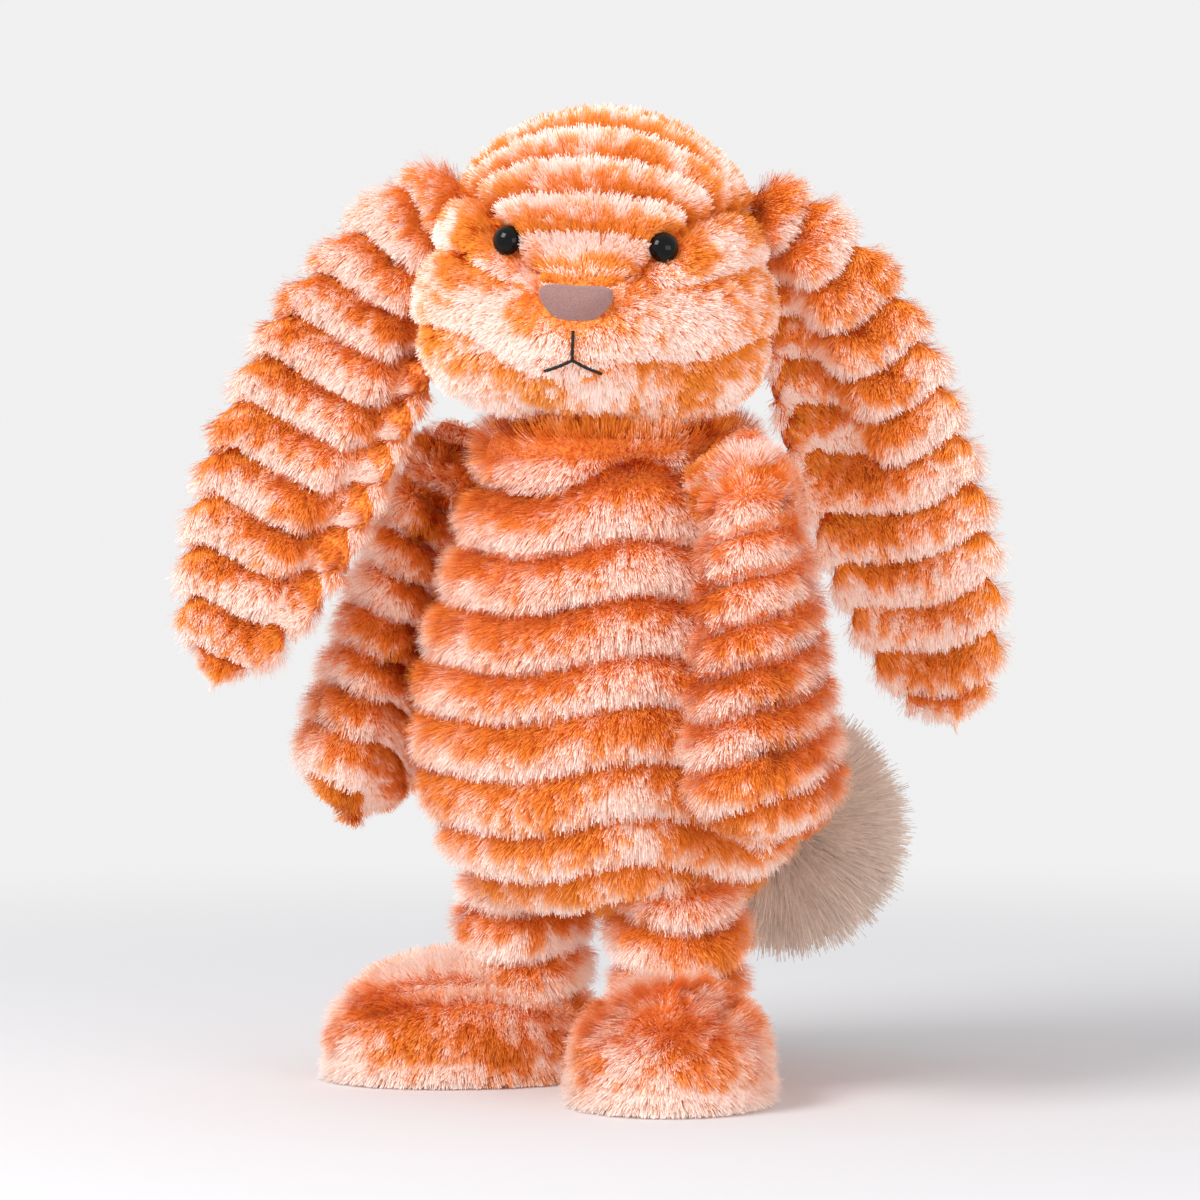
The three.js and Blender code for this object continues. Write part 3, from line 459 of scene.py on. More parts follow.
def pile_tree():
    """Strands of pile on a skin: flat blades that rise from the cloth and lean over with the nap."""
    name = "pile_strands"
    if name in bpy.data.node_groups:
        return bpy.data.node_groups[name]
    tree = bpy.data.node_groups.new(name, "GeometryNodeTree")
    tree.interface.new_socket("Geometry", in_out="INPUT", socket_type="NodeSocketGeometry")
    for label, (kind, default) in PILE_INPUTS.items():
        socket = tree.interface.new_socket(label, in_out="INPUT", socket_type=kind)
        if default is not None:
            socket.default_value = default
    tree.interface.new_socket("Geometry", in_out="OUTPUT", socket_type="NodeSocketGeometry")
    w = Wires(tree)
    given = w.add("NodeGroupInput").outputs
    position = w.add("GeometryNodeInputPosition").outputs[0]

    # One blade, a unit long: it rises from a point, leans over and widens to its tip.
    blade = w.add("GeometryNodeMeshGrid", {"Size X": 1.0, "Size Y": 1.0, "Vertices X": 2, "Vertices Y": 2})
    parts = w.add("ShaderNodeSeparateXYZ", {0: position}).outputs
    along = w.math("ADD", parts[1], 0.5)
    place = w.add("ShaderNodeCombineXYZ", {0: parts[0], 1: along}).outputs[0]
    marked = w.store(blade.outputs[0], "blade", place, "FLOAT_VECTOR")
    over = w.math("MULTIPLY", along, BLADE_OVER)
    rise = w.math("MULTIPLY", along, BLADE_RISE)
    wide = w.math("MULTIPLY", parts[0], along)
    leant = w.add("ShaderNodeCombineXYZ", {0: wide, 1: over, 2: rise}).outputs[0]
    blade = w.add("GeometryNodeSetPosition", {"Geometry": marked, "Position": leant}).outputs[0]
    blade = w.add("GeometryNodeMergeByDistance", {"Geometry": blade, "Distance": 0.001}).outputs[0]

    # Roots, with the paleness of each strand's tip from its place on the rib and from patches
    density = w.math("MULTIPLY", given["Density"], w.named("cover"))
    points = w.add(
        "GeometryNodeDistributePointsOnFaces",
        {"Mesh": given["Geometry"], "Density": density, "Seed": given["Seed"]},
        distribute_method="RANDOM",
    ).outputs["Points"]
    phase = w.math("FRACT", w.named("rib"))
    patch = w.noise(position, w.math("DIVIDE", 1.0, given["Patch Size"]), 1.0).outputs[0]
    streak = w.noise(position, w.math("DIVIDE", 1.0, given["Tuft Size"]), 0.0)
    patchy = w.math("MULTIPLY", w.math("SUBTRACT", patch, 0.5), w.math("MULTIPLY", w.named("mottle"), 2.6))
    streaky = w.math("MULTIPLY", w.math("SUBTRACT", streak.outputs[0], 0.5), 0.9)
    pale = w.math("ADD", w.math("ADD", phase, w.named("tint")), w.math("ADD", patchy, streaky))
    points = w.store(points, "tip", w.math("ADD", pale, w.chance(-0.14, 0.14, 16)))
    points = w.store(points, "shade", w.chance(0.0, 1.0, 11))
    points = w.store(points, "root", position, "FLOAT_VECTOR")

    # How each strand lies: along the nap, with coherent and single stray
    lie = w.add(
        "FunctionNodeAxesToRotation",
        {"Primary Axis": w.named("lift", "FLOAT_VECTOR"), "Secondary Axis": w.named("nap", "FLOAT_VECTOR")},
        primary_axis="Z",
        secondary_axis="Y",
    ).outputs[0]
    sway = w.add("ShaderNodeSeparateXYZ", {0: streak.outputs[1]}).outputs
    yaw = w.math("ADD", w.math("MULTIPLY", w.math("SUBTRACT", sway[1], 0.5), 2.6), w.chance(-0.5, 0.5, 12))
    pitch = w.math("ADD", w.math("MULTIPLY", w.math("SUBTRACT", sway[2], 0.5), 1.3), w.chance(-0.4, 0.4, 13))
    stray = w.add(
        "ShaderNodeCombineXYZ",
        {0: w.math("MULTIPLY", pitch, given["Stray"]), 2: w.math("MULTIPLY", yaw, given["Stray"])},
    ).outputs[0]
    stray = w.add("FunctionNodeEulerToRotation", {0: stray}).outputs[0]
    lie = w.add("FunctionNodeRotateRotation", {0: lie, 1: stray}, rotation_space="LOCAL").outputs[0]
    length = w.math("MULTIPLY", given["Length"], w.named("pile"))
    length = w.math("MULTIPLY", length, w.chance(0.72, 1.18, 14))
    loft = w.math("MULTIPLY", w.math("MULTIPLY", length, given["Loft"]), w.chance(0.7, 1.3, 15))
    size = w.add("ShaderNodeCombineXYZ", {0: given["Width"], 1: length, 2: loft}).outputs[0]
    strands = w.add(
        "GeometryNodeInstanceOnPoints", {"Points": points, "Instance": blade, "Rotation": lie, "Scale": size}
    ).outputs[0]
    strands = w.add("GeometryNodeRealizeInstances", {0: strands}).outputs[0]

    # Tufts draw their tips together, and nothing goes under the floor
    blade_place = w.add("ShaderNodeSeparateXYZ", {0: w.named("blade", "FLOAT_VECTOR")}).outputs
    root = w.named("root", "FLOAT_VECTOR")
    tuft = w.add(
        "ShaderNodeTexVoronoi", {"Vector": root, "Scale": w.math("DIVIDE", 1.0, given["Tuft Size"])}
    ).outputs["Position"]
    pull = w.math("MULTIPLY", blade_place[1], given["Gather"])
    moved = w.vector("ADD", position, w.vector("SCALE", w.vector("SUBTRACT", tuft, root), scale=pull))
    floor = w.vector("MAXIMUM", moved, (-10.0, -10.0, FLOOR_CLEARANCE))
    strands = w.add("GeometryNodeSetPosition", {"Geometry": strands, "Position": floor}).outputs[0]

    # Tone along the strand, kept as the map that its colour is read from. Strands rooted at the top of a rib,
    # in the groove, keep the dark root colour: partly the pile's deep orange, partly painted groove shade.
    span = w.math("DIVIDE", w.math("MULTIPLY", given["Length"], 0.5), given["Rib Pitch"])
    reach = w.math("ADD", w.named("tip"), w.math("MULTIPLY", blade_place[1], span))
    tone = w.math("ADD", w.ramp(reach, -0.1, 0.2, 0.0, 0.36), w.ramp(reach, 0.3, 1.0, 0.0, 0.62))
    tone = w.math("MULTIPLY", tone, w.ramp(blade_place[1], 0.0, 1.0, ROOT_TONE, 1.0))
    shade = w.ramp(w.named("shade"), 0.0, 1.0, 0.1, 0.9)
    shade = w.math("ADD", shade, w.math("MULTIPLY", blade_place[0], 0.02))
    tone_map = w.add("ShaderNodeCombineXYZ", {0: w.math("ADD", tone, 0.01), 1: shade}).outputs[0]
    strands = w.store(strands, "OFBake", tone_map, "FLOAT2", "CORNER")
    for spare in ("blade", "tip", "shade", "root", *SKIN_FIELDS):
        strands = w.add("GeometryNodeRemoveAttribute", {"Geometry": strands, "Name": spare}).outputs[0]
    dyed = {"Geometry": strands, "Material": given["Material"]}
    w.add("NodeGroupOutput", {0: w.add("GeometryNodeSetMaterial", dyed).outputs[0]})
    return tree


def grow_pile(name, skin_mesh, body, slot, **settings):
    """Strands on a skin, as a plain mesh of their own that rides with it."""
    made = add_object(name, skin_mesh.copy())
    tree = pile_tree()
    modifier = made.modifiers.new("pile", "NODES")
    modifier.node_group = tree
    for item in tree.interface.items_tree:
        if item.in_out == "INPUT" and item.name in settings:
            modifier[item.identifier] = settings[item.name]
    apply_modifiers(made)
    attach(made, body)


def add_skin(name, mesh, finishing, body, nodes, thickness):
    """The cloth of one stuffed piece, with its thickness turned in."""
    made = add_object(name, mesh)
    made.data.materials.append(material(finishing))
    wall = made.modifiers.new("cloth", "SOLIDIFY")
    wall.thickness = thickness
    wall.offset = -1
    apply_modifiers(made)
    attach(made, body)
    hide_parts(*nodes)


# The skins in pile; a skin's place in the list is the seed of its strands
PILED = (
    "body_front", "body_back", "head_gusset", "head_cheek_left", "head_cheek_right",
    "ear_left_lining", "ear_left_back", "ear_right_lining", "ear_right_back",
    "arm_left", "arm_right", "leg_left", "foot_left", "leg_right", "foot_right",
)


def dress(name, mesh, body, nodes, sizes, **changes):
    """A skin in ribbed pile: the strands first, then the cloth that they grow from."""
    settings = {
        "Density": sizes.pile_density,
        "Length": sizes.pile_length,
        "Width": sizes.strand_width,
        "Tuft Size": sizes.tuft,
        "Seed": PILED.index(name) + 1,
        "Material": material("pile"),
    }
    settings.update({key.replace("_", " "): value for key, value in changes.items()})
    grow_pile(f"{name}_pile", mesh, body, "pile", **settings)
    add_skin(f"{name}_cloth", mesh, "cloth", body, nodes, sizes.cloth)


# Materials


def shader_group(name, inputs, outputs):
    """A new shader node group with named sockets, and its wires, input and output sockets."""
    tree = bpy.data.node_groups.new(name, "ShaderNodeTree")
    for label, kind, default in inputs:
        tree.interface.new_socket(label, in_out="INPUT", socket_type=kind).default_value = default
    for label, kind in outputs:
        tree.interface.new_socket(label, in_out="OUTPUT", socket_type=kind)
    w = Wires(tree)
    return tree, w, w.add("NodeGroupInput").outputs


def strand_tone():
    """Colour of a strand from its tone map: root to tip one way, lighter and darker strands the other."""
    name = "strand_tone"
    if name in bpy.data.node_groups:
        return bpy.data.node_groups[name]
    black = (0.0, 0.0, 0.0, 1.0)
    inputs = [(key, "NodeSocketColor", black) for key in ("Root", "Low", "High", "Tip")]
    outputs = [("Colour", "NodeSocketColor"), ("Glow", "NodeSocketColor")]
    tree, w, given = shader_group(name, inputs, outputs)
    at = w.add("ShaderNodeUVMap", uv_map="OFBake").outputs[0]
    at = w.add("ShaderNodeSeparateXYZ", {0: at}).outputs
    colour = given["Root"]
    for key, low, high in (("Low", 0.02, 0.3), ("High", 0.34, 0.62), ("Tip", 0.55, 0.95)):
        share = w.ramp(at[0], low, high)
        mixed = w.add("ShaderNodeMix", {"Factor": share, 6: colour, 7: given[key]}, data_type="RGBA")
        colour = mixed.outputs[2]
    value = w.ramp(at[1], 0.0, 1.0, 0.86, 1.08)
    shaded = w.add("ShaderNodeHueSaturation", {"Value": value, "Color": colour}).outputs[0]
    # Painted glow: the strand's own colour sent out as emission, rising towards the pale tips
    share = w.ramp(at[0], 0.15, 0.85)
    glow = w.add("ShaderNodeMix", {"Factor": share, 6: black, 7: shaded}, data_type="RGBA")
    w.add("NodeGroupOutput", {0: shaded, 1: glow.outputs[2]})
    return tree


def fine_grain():
    """Fine speckle from object coordinates: a mask, and a height for bump."""
    name = "fine_grain"
    if name in bpy.data.node_groups:
        return bpy.data.node_groups[name]
    inputs = [("Scale", "NodeSocketFloat", 1000.0), ("Detail", "NodeSocketFloat", 2.0)]
    tree, w, given = shader_group(name, inputs, [("Mask", "NodeSocketFloat"), ("Height", "NodeSocketFloat")])
    at = w.add("ShaderNodeTexCoord").outputs["Object"]
    speckle = w.noise(at, given["Scale"], given["Detail"]).outputs[0]
    w.add("NodeGroupOutput", {0: w.ramp(speckle, 0.3, 0.7), 1: speckle})
    return tree


def weave():
    """Crossed threads from object coordinates: a mask of the gaps, and a height for bump."""
    name = "weave"
    if name in bpy.data.node_groups:
        return bpy.data.node_groups[name]
    inputs = [("Scale", "NodeSocketFloat", 600.0)]
    tree, w, given = shader_group(name, inputs, [("Mask", "NodeSocketFloat"), ("Height", "NodeSocketFloat")])
    at = w.add("ShaderNodeTexCoord").outputs["Object"]
    ways = []
    for direction in ("X", "Y"):
        wave = w.add("ShaderNodeTexWave", {"Vector": at, "Scale": given["Scale"]}, bands_direction=direction)
        ways.append(wave.outputs[1])
    height = w.math("MAXIMUM", *ways)
    w.add("NodeGroupOutput", {0: w.ramp(height, 0.2, 0.8), 1: height})
    return tree


def new_material(name, roughness, sheen=0.0, shine=0.5):
    made = bpy.data.materials.new(name)
    made.use_nodes = True
    w = Wires(made.node_tree)
    shader = made.node_tree.nodes["Principled BSDF"]
    shader.inputs["Roughness"].default_value = roughness
    shader.inputs["Sheen Weight"].default_value = sheen
    shader.inputs["Sheen Roughness"].default_value = 0.5
    shader.inputs["Specular IOR Level"].default_value = shine
    return made, w, shader


# Height of a grain or a thread in a bump, in metres
GRAIN_HEIGHT = 0.0004


def grained_material(name, group, scale, dark, light, roughness, bump, **surface):
    """A material whose colour and bump follow a grain or a weave."""
    made, w, shader = new_material(name, roughness, **surface)
    grain = w.add("ShaderNodeGroup", node_tree=group)
    grain.inputs["Scale"].default_value = scale
    colour = w.add("ShaderNodeMix", {"Factor": grain.outputs["Mask"], 6: dark, 7: light}, data_type="RGBA")
    height = {"Height": grain.outputs["Height"], "Strength": bump, "Distance": GRAIN_HEIGHT}
    relief = w.add("ShaderNodeBump", height)
    made.node_tree.links.new(colour.outputs[2], shader.inputs["Base Color"])
    made.node_tree.links.new(relief.outputs[0], shader.inputs["Normal"])
    return made


# Strength of the pile's painted glow: emission that stands in for light the pale tips scatter on to each
# other, lifting the shade between strands
PAINTED_GLOW = 0.13


def strand_material(name, root, low, high, tip, sheen):
    made, w, shader = new_material(name, 0.8, sheen=sheen, shine=0.1)
    tone = w.add("ShaderNodeGroup", node_tree=strand_tone())
    for key, colour in (("Root", root), ("Low", low), ("High", high), ("Tip", tip)):
        tone.inputs[key].default_value = colour
    # Painted glow: emission on the pile in place of light scattered between strands
    shader.inputs["Emission Strength"].default_value = PAINTED_GLOW
    made.node_tree.links.new(tone.outputs["Colour"], shader.inputs["Base Color"])
    made.node_tree.links.new(tone.outputs["Glow"], shader.inputs["Emission Color"])
    return made


def darker(colour, share):
    return tuple(c * share for c in colour[:3]) + (1.0,)


def material(name):
    """The named finish of the rabbit, made on first use from the colours in the panel."""
    label = f"rabbit_{name}"
    if label in bpy.data.materials:
        return bpy.data.materials[label]
    c = bpy.context.scene.rabbit_colours
    plain = {key: tuple(getattr(c, key)) for key in RabbitColours.__annotations__}
    if name == "pile":
        return strand_material(label, plain["root"], plain["orange"], plain["peach"], plain["tip"], 0.02)
    if name == "tail_pile":
        # Tail hair from its painted-shade root colour to its shaded cream
        low, high = plain["tail_root"], plain["tail"]
        return strand_material(label, low, low, high, high, 0.1)
    grained = {
        # The cloth's grain runs from the root colour, darkened as painted groove shade, to orange
        "cloth": (fine_grain, 900, plain["root"], plain["orange"], 0.9, 0.5, {"sheen": 0.2}),
        # The tail's core cloth shares the tail's painted-shade colours
        "tail_cloth": (fine_grain, 900, plain["tail_root"], plain["tail"], 0.9, 0.5, {}),
        "flock": (fine_grain, 2600, darker(plain["nose"], 0.72), plain["nose"], 0.95, 0.8, {"sheen": 0.2}),
        "bead": (fine_grain, 400, plain["bead"], darker(plain["bead"], 0.6), 0.05, 0.02, {"shine": 0.2}),
        "thread": (fine_grain, 3000, darker(plain["thread"], 0.5), plain["thread"], 0.7, 0.6, {}),
        "sole_cloth": (weave, 900, darker(plain["sole"], 0.75), plain["sole"], 0.9, 0.5, {"sheen": 0.3}),
        "wadding": (fine_grain, 500, darker(plain["wadding"], 0.85), plain["wadding"], 0.95, 0.6, {}),
        "washer": (fine_grain, 700, darker(plain["washer"], 0.94), plain["washer"], 0.45, 0.08, {}),
    }
    group, scale, dark, light, roughness, bump, surface = grained[name]
    return grained_material(label, group(), scale, dark, light, roughness, bump, **surface)


# Forms


def body_reach(direction):
    """How far the body reaches along a direction from the origin."""
    shares = np.linspace(0, 1, 61)
    swell = read_table(BODY_OUTLINE, shares)
    flat = np.hypot(direction[0] * swell * BODY_WIDTH / 2, direction[1] * swell * BODY_DEPTH / 2)
    return (flat + direction[2] * (BODY_BASE + BODY_HEIGHT * shares)).max()


def make_body(sizes):
    fine = np.linspace(0.999, 0.001, 2000)
    profile = np.stack([read_table(BODY_OUTLINE, fine) * BODY_WIDTH / 2, fine * BODY_HEIGHT], -1)
    walked = np.concatenate([[0], np.cumsum(np.linalg.norm(np.diff(profile, axis=0), axis=1))])
    share = np.interp(np.linspace(0, walked[-1], 130), walked, fine)
    angle = np.linspace(0, 2 * np.pi, 180, endpoint=False)
    height = BODY_BASE + BODY_HEIGHT * share
    half = read_table(BODY_OUTLINE, share)
    # The top roll swells up under the chin.
    swell = (TOP_ROLL_SWELL * smooth(0.8, 0.9, share) * (1 - smooth(0.915, 0.95, share)))[:, None]

    def surface(grow):
        grow = np.broadcast_to(grow, (len(share), len(angle)))
        tall = BODY_BASE + BODY_HEIGHT / 2 + (share[:, None] - 0.5) * (BODY_HEIGHT + 2 * grow)
        tall = tall + swell
        slim = smooth(0, 0.3, half)[:, None] * grow
        return np.stack(
            [
                (half[:, None] * BODY_WIDTH / 2 + slim) * np.cos(angle),
                (half[:, None] * BODY_DEPTH / 2 + slim) * np.sin(angle),
                tall,
            ],
            -1,
        )

    wave = 2.2 * np.sin(3 * angle + 0.7) + 1.5 * np.sin(5 * angle + 2.1) + 1.2 * np.sin(2 * angle)
    level = height[:, None] + wave * smooth(0, 0.6, half)[:, None]
    rib = np.interp(-level, -np.array(BODY_GROOVES), np.arange(len(BODY_GROOVES)))
    skin = Skin(surface, rib, sizes.rib_depth * 1000, sizes.pile_sink * 1000)
    skin.cover *= 1 - smooth(0.98, 0.99, share)[:, None]
    # The top roll's pile stands up round the neck, to the chin.
    collar = np.broadcast_to(smooth(0.84, 0.93, share)[:, None], skin.rib.shape)
    skin.stand(COLLAR_STAND * collar)
    skin.pile *= 1 + COLLAR_PILE * collar
    skin.tint += COLLAR_TINT * collar
    halves = (
        ("body_front", np.arange(90, 181) % 180, ["body_front", "body_fill", "bean_pouch"]),
        ("body_back", np.arange(0, 91), ["body_back"]),
    )
    density = sizes.pile_density * BODY_DENSITY
    for name, columns, nodes in halves:
        mesh = skin.mesh(f"{name}_skin", columns)
        dress(name, mesh, "body", nodes, sizes, Density=density, Rib_Pitch=BODY_BAND)


def spline(points, count):
    """Evenly spaced places on a smooth curve through the points, and the curve's length."""
    knots = np.vstack([2 * points[0] - points[1], points, 2 * points[-1] - points[-2]])
    fine = []
    for i in range(len(points) - 1):
        p = knots[i : i + 4]
        d = np.linalg.norm(np.diff(p, axis=0), axis=1) ** 0.5
        enter = ((p[1] - p[0]) / d[0] - (p[2] - p[0]) / (d[0] + d[1]) + (p[2] - p[1]) / d[1]) * d[1]
        leave = ((p[2] - p[1]) / d[1] - (p[3] - p[1]) / (d[1] + d[2]) + (p[3] - p[2]) / d[2]) * d[1]
        t = np.linspace(0, 1, 60, endpoint=i == len(points) - 2)[:, None]
        square = -3 * p[1] + 3 * p[2] - 2 * enter - leave
        cube = 2 * p[1] - 2 * p[2] + enter + leave
        fine.append(p[1] + t * (enter + t * (square + t * cube)))
    fine = np.vstack(fine)
    walked = np.concatenate([[0], np.cumsum(np.linalg.norm(np.diff(fine, axis=0), axis=1))])
    places = np.linspace(0, walked[-1], count)
    return np.stack([np.interp(places, walked, fine[:, k]) for k in range(3)], -1), walked[-1]


def ear_spine(ear, count):
    """The centre line of an ear: out of the head's side, over a bend, then hanging."""
    side, arch = ear["side"], ear["arch"]
    reach = head_reach(np.array([1.0, 0, 0])) - 1
    root = np.array([side * reach, EAR_ROOT_BACK, EAR_ROOT_RISE])
    out, back = math.radians(ear["out"]), math.radians(ear["back"])
    hang = unit(np.array([side * math.sin(out), math.sin(back), -math.cos(out)]))
    dip = math.radians(EAR_DIP)
    start = root - np.array([side * math.cos(dip), 0, -math.sin(dip)]) * EAR_ROOT_RADIUS * 0.7
    bend = root + np.array([side * arch * 0.62, 0, -arch * 0.5])
    lower = [
        bend + hang * EAR_DROP * far + np.array([side * arch * drift, 0, 0])
        for far, drift in ((0.3, 0.22), (0.65, 0.25), (1, 0.12))
    ]
    return spline(np.vstack([start, root, bend, *lower]), count)


def make_ear(word, sizes):
    ear = EARS[word]
    side = ear["side"]
    rows, sides = 112, 80
    centre, length = ear_spine(ear, rows)
    share = np.linspace(0, 1, rows)
    tangent = unit(np.gradient(centre, axis=0))
    across = unit(np.cross(tangent, FRONT))
    normal = np.cross(across, tangent)
    half = read_table(EAR_OUTLINE, np.minimum(share, 0.995)) * EAR_WIDTH / 2
    cup = EAR_CUP * smooth(0.08, 0.4, share) * (half / (EAR_WIDTH / 2)) ** 2
    angle = np.linspace(0, 2 * np.pi, sides, endpoint=False)
    u, v = np.cos(angle), np.sin(angle)
    inner = u * side
    crease = read_table(ear["crease"], share)[:, None]
    folded = smooth(0.02, 0.1, share)[:, None] * (1 - smooth(*ear["fold"], share))[:, None] * (v > 0)
    tucked = smooth(-0.06, 0.1, inner - crease) * folded
    swell = np.exp(-(((inner - crease + 0.25) / 0.3) ** 2)) * folded

    def surface(grow):
        grow = np.broadcast_to(grow, (rows, sides))
        slim = np.minimum(1, half / 12)[:, None]
        wide = np.maximum(half[:, None] + grow, 0.4)
        thick = np.maximum((EAR_PANEL + 0.6) * slim + grow, 0.4)
        out = thick * v * (1 - 0.25 * u**2) + cup[:, None] * u**2
        out = out + (EAR_LOBE * swell - EAR_TUCK * tucked) * np.abs(v)
        return head_to_body(
            centre[:, None] + across[:, None] * (u * wide)[..., None] + normal[:, None] * out[..., None]
        )

    wave = 0.1 * np.sin(2 * angle + side) + 0.07 * np.sin(3 * angle)
    rib = share[:, None] * length / (sizes.rib_pitch * 1000) + wave + 0.42 * tucked
    blunt = smooth(0, 0.1, 1 - share)[:, None]
    skin = Skin(surface, rib, sizes.rib_depth * 1000 * blunt, sizes.pile_sink * 1000)
    skin.cover *= smooth(0.0, 0.02, share)[:, None]
    skin.stand(np.broadcast_to(1 - blunt, skin.rib.shape))
    end = 0.6 * (1 - smooth(0, 0.05, 1 - share))[:, None, None]
    skin.lift = unit(skin.lift * (1 - end) + (tangent @ HEAD_MATRIX.T)[:, None] * end)
    skin.pile *= 0.7 + 0.3 * blunt
    skin.tint += EAR_END_TINT * (1 - smooth(0, 0.06, 1 - share))[:, None]
    lining = np.arange(0, sides // 2 + 1)
    back = np.arange(sides // 2, sides + 1) % sides
    for part, columns in (("lining", lining), ("back", back)):
        node = f"ear_{word}_{part}"
        mesh = skin.mesh(f"{node}_skin", columns)
        dress(node, mesh, f"ear_{word}", [node], sizes, Length=sizes.pile_length * EAR_PILE)


def seam_plane(side):
    """The plane of a seam between the gusset and a cheek: its normal, and how far out it lies."""
    sweep, flare = math.tan(math.radians(GUSSET_SWEEP)), math.tan(math.radians(GUSSET_FLARE))
    normal = unit(np.array([side, -sweep, -flare]))
    nose = head_point(NOSE_AIM, -NOSE_SEAT)
    return normal, normal @ (nose + np.array([side * GUSSET_NOSE, 0, 0]))


def mouth_strokes():
    """Places of the mouth's stem and two arms on the pile, in the head's own frame."""
    top = -9 - NOSE_HEIGHT * 0.72
    fork = (0, top - MOUTH_STEM)
    strokes = [[(0, top + 1.5), (0, top - MOUTH_STEM / 2), fork]]
    for side in (1, -1):
        half = (side * MOUTH_HALF_WIDTH * 0.5, fork[1] - MOUTH_ARM_DROP * 0.52)
        strokes.append([fork, half, (side * MOUTH_HALF_WIDTH, fork[1] - MOUTH_ARM_DROP)])
    return [
        np.array([head_point(np.array([x, NOSE_AIM[1], z]), MOUTH_THREAD / 2 + 0.4) for x, z in stroke])
        for stroke in strokes
    ]


def away_from(points, places):
    """How far each point is from the nearest of some places."""
    return np.min([np.linalg.norm(points - place, axis=-1) for place in places], axis=0)


def make_head(sizes):
    over = np.linspace(0, 2 * np.pi, 200, endpoint=False)
    lean = np.linspace(0.03, np.pi - 0.03, 96)
    a, b = np.meshgrid(lean, over, indexing="ij")
    way = np.stack([np.cos(a), -np.sin(a) * np.cos(b), np.sin(a) * np.sin(b)], -1)
    nose = head_point(NOSE_AIM)
    shown = head_point(way)
    x, y, z = np.moveaxis(shown, -1, 0)
    beyond = np.maximum(*(shown @ normal - far for normal, far in map(seam_plane, (1, -1))))
    chin = (z < -CHIN_DROP) & (y < 3)
    on_gusset = (beyond < 0) & ~chin
    climb = np.mod(np.arctan2(z, -y), 2 * np.pi)
    arched = climb * HEAD_RIBS / (2 * np.pi) + 0.25
    fallen = (CHEEK_TOP_BAND - z + 0.25 * np.abs(x)) / CHEEK_BAND + 0.1 * np.sin(0.12 * x)
    rib = np.where(on_gusset, arched, fallen)
    depth = np.where(on_gusset, smooth(math.radians(12), math.radians(35), climb), 0.3)
    depth = depth * sizes.rib_depth * 1000
    seam = np.exp(-((beyond / 3.0) ** 2)) * smooth(-14, 6, z)
    eyes = away_from(shown, [head_point(EYE_AIM * [side, 1, 1]) for side in (1, -1)])
    hollow = EYE_HOLLOW * np.exp(-((eyes / 8) ** 2)) + SEAM_HOLLOW * seam
    to_nose = np.linalg.norm((shown - nose) * [0.62, 1, 1], axis=-1)
    thread = np.vstack([spline(stroke, 24)[0] for stroke in mouth_strokes()])
    to_mouth = away_from(shown, thread)
    short = smooth(6, 16, eyes) * smooth(8, 18, to_nose)
    depth = depth * short * smooth(2, 10, to_mouth)
    sink = sizes.pile_sink * 1000 * (0.2 + 0.8 * short) * (0.35 + 0.65 * smooth(1, 9, to_mouth))

    def surface(grow):
        return head_to_body(head_point(way, np.broadcast_to(grow, x.shape) - hollow))

    skin = Skin(surface, rib, depth, sink)
    # The nap lies away from the nose, and down over the cheeks.
    away = unit(shown - nose) + np.where(on_gusset, 0, 0.9)[..., None] * np.array([0, 0, -1.0])
    away = away @ HEAD_MATRIX.T
    skin.nap = unit(away - skin.lift * (away * skin.lift).sum(-1, keepdims=True))
    skin.pile *= 0.3 + 0.5 * smooth(3, 14, eyes)
    skin.pile *= 0.22 + 0.78 * smooth(7, 17, to_nose)
    skin.pile *= 0.35 + 0.65 * smooth(0.5, 9, to_mouth)
    skin.pile *= 1 - 0.55 * seam
    skin.cover *= smooth(3.6, 5.5, eyes) * smooth(6.5, 9, to_nose)
    skin.cover *= np.where((z < -35) & (np.hypot(x, y) < 14), 0.0, 1.0)
    corners = away_from(shown, [head_point((EYE_AIM + [11, 4, -2]) * [side, 1, 1]) for side in (1, -1)])
    # Painted shade: along the seam's crease the pile stays darker orange
    skin.tint += np.where(on_gusset, GUSSET_TINT, CHEEK_TINT) + SEAM_SHADE_TINT * seam
    skin.tint += EYE_CORNER_TINT * np.exp(-((corners / 8) ** 2))
    skin.mottle[:] = np.where(on_gusset, 0.35, 0.6)
    skin.rib = np.where(on_gusset, rib, np.floor(rib) + 0.25 + 0.5 * np.mod(rib, 1))

    for name, mesh in split_head(skin.mesh("head")).items():
        inner = ["head_fill"] if name == "head_gusset" else []
        dress(name, mesh, "head", [name, *inner], sizes)


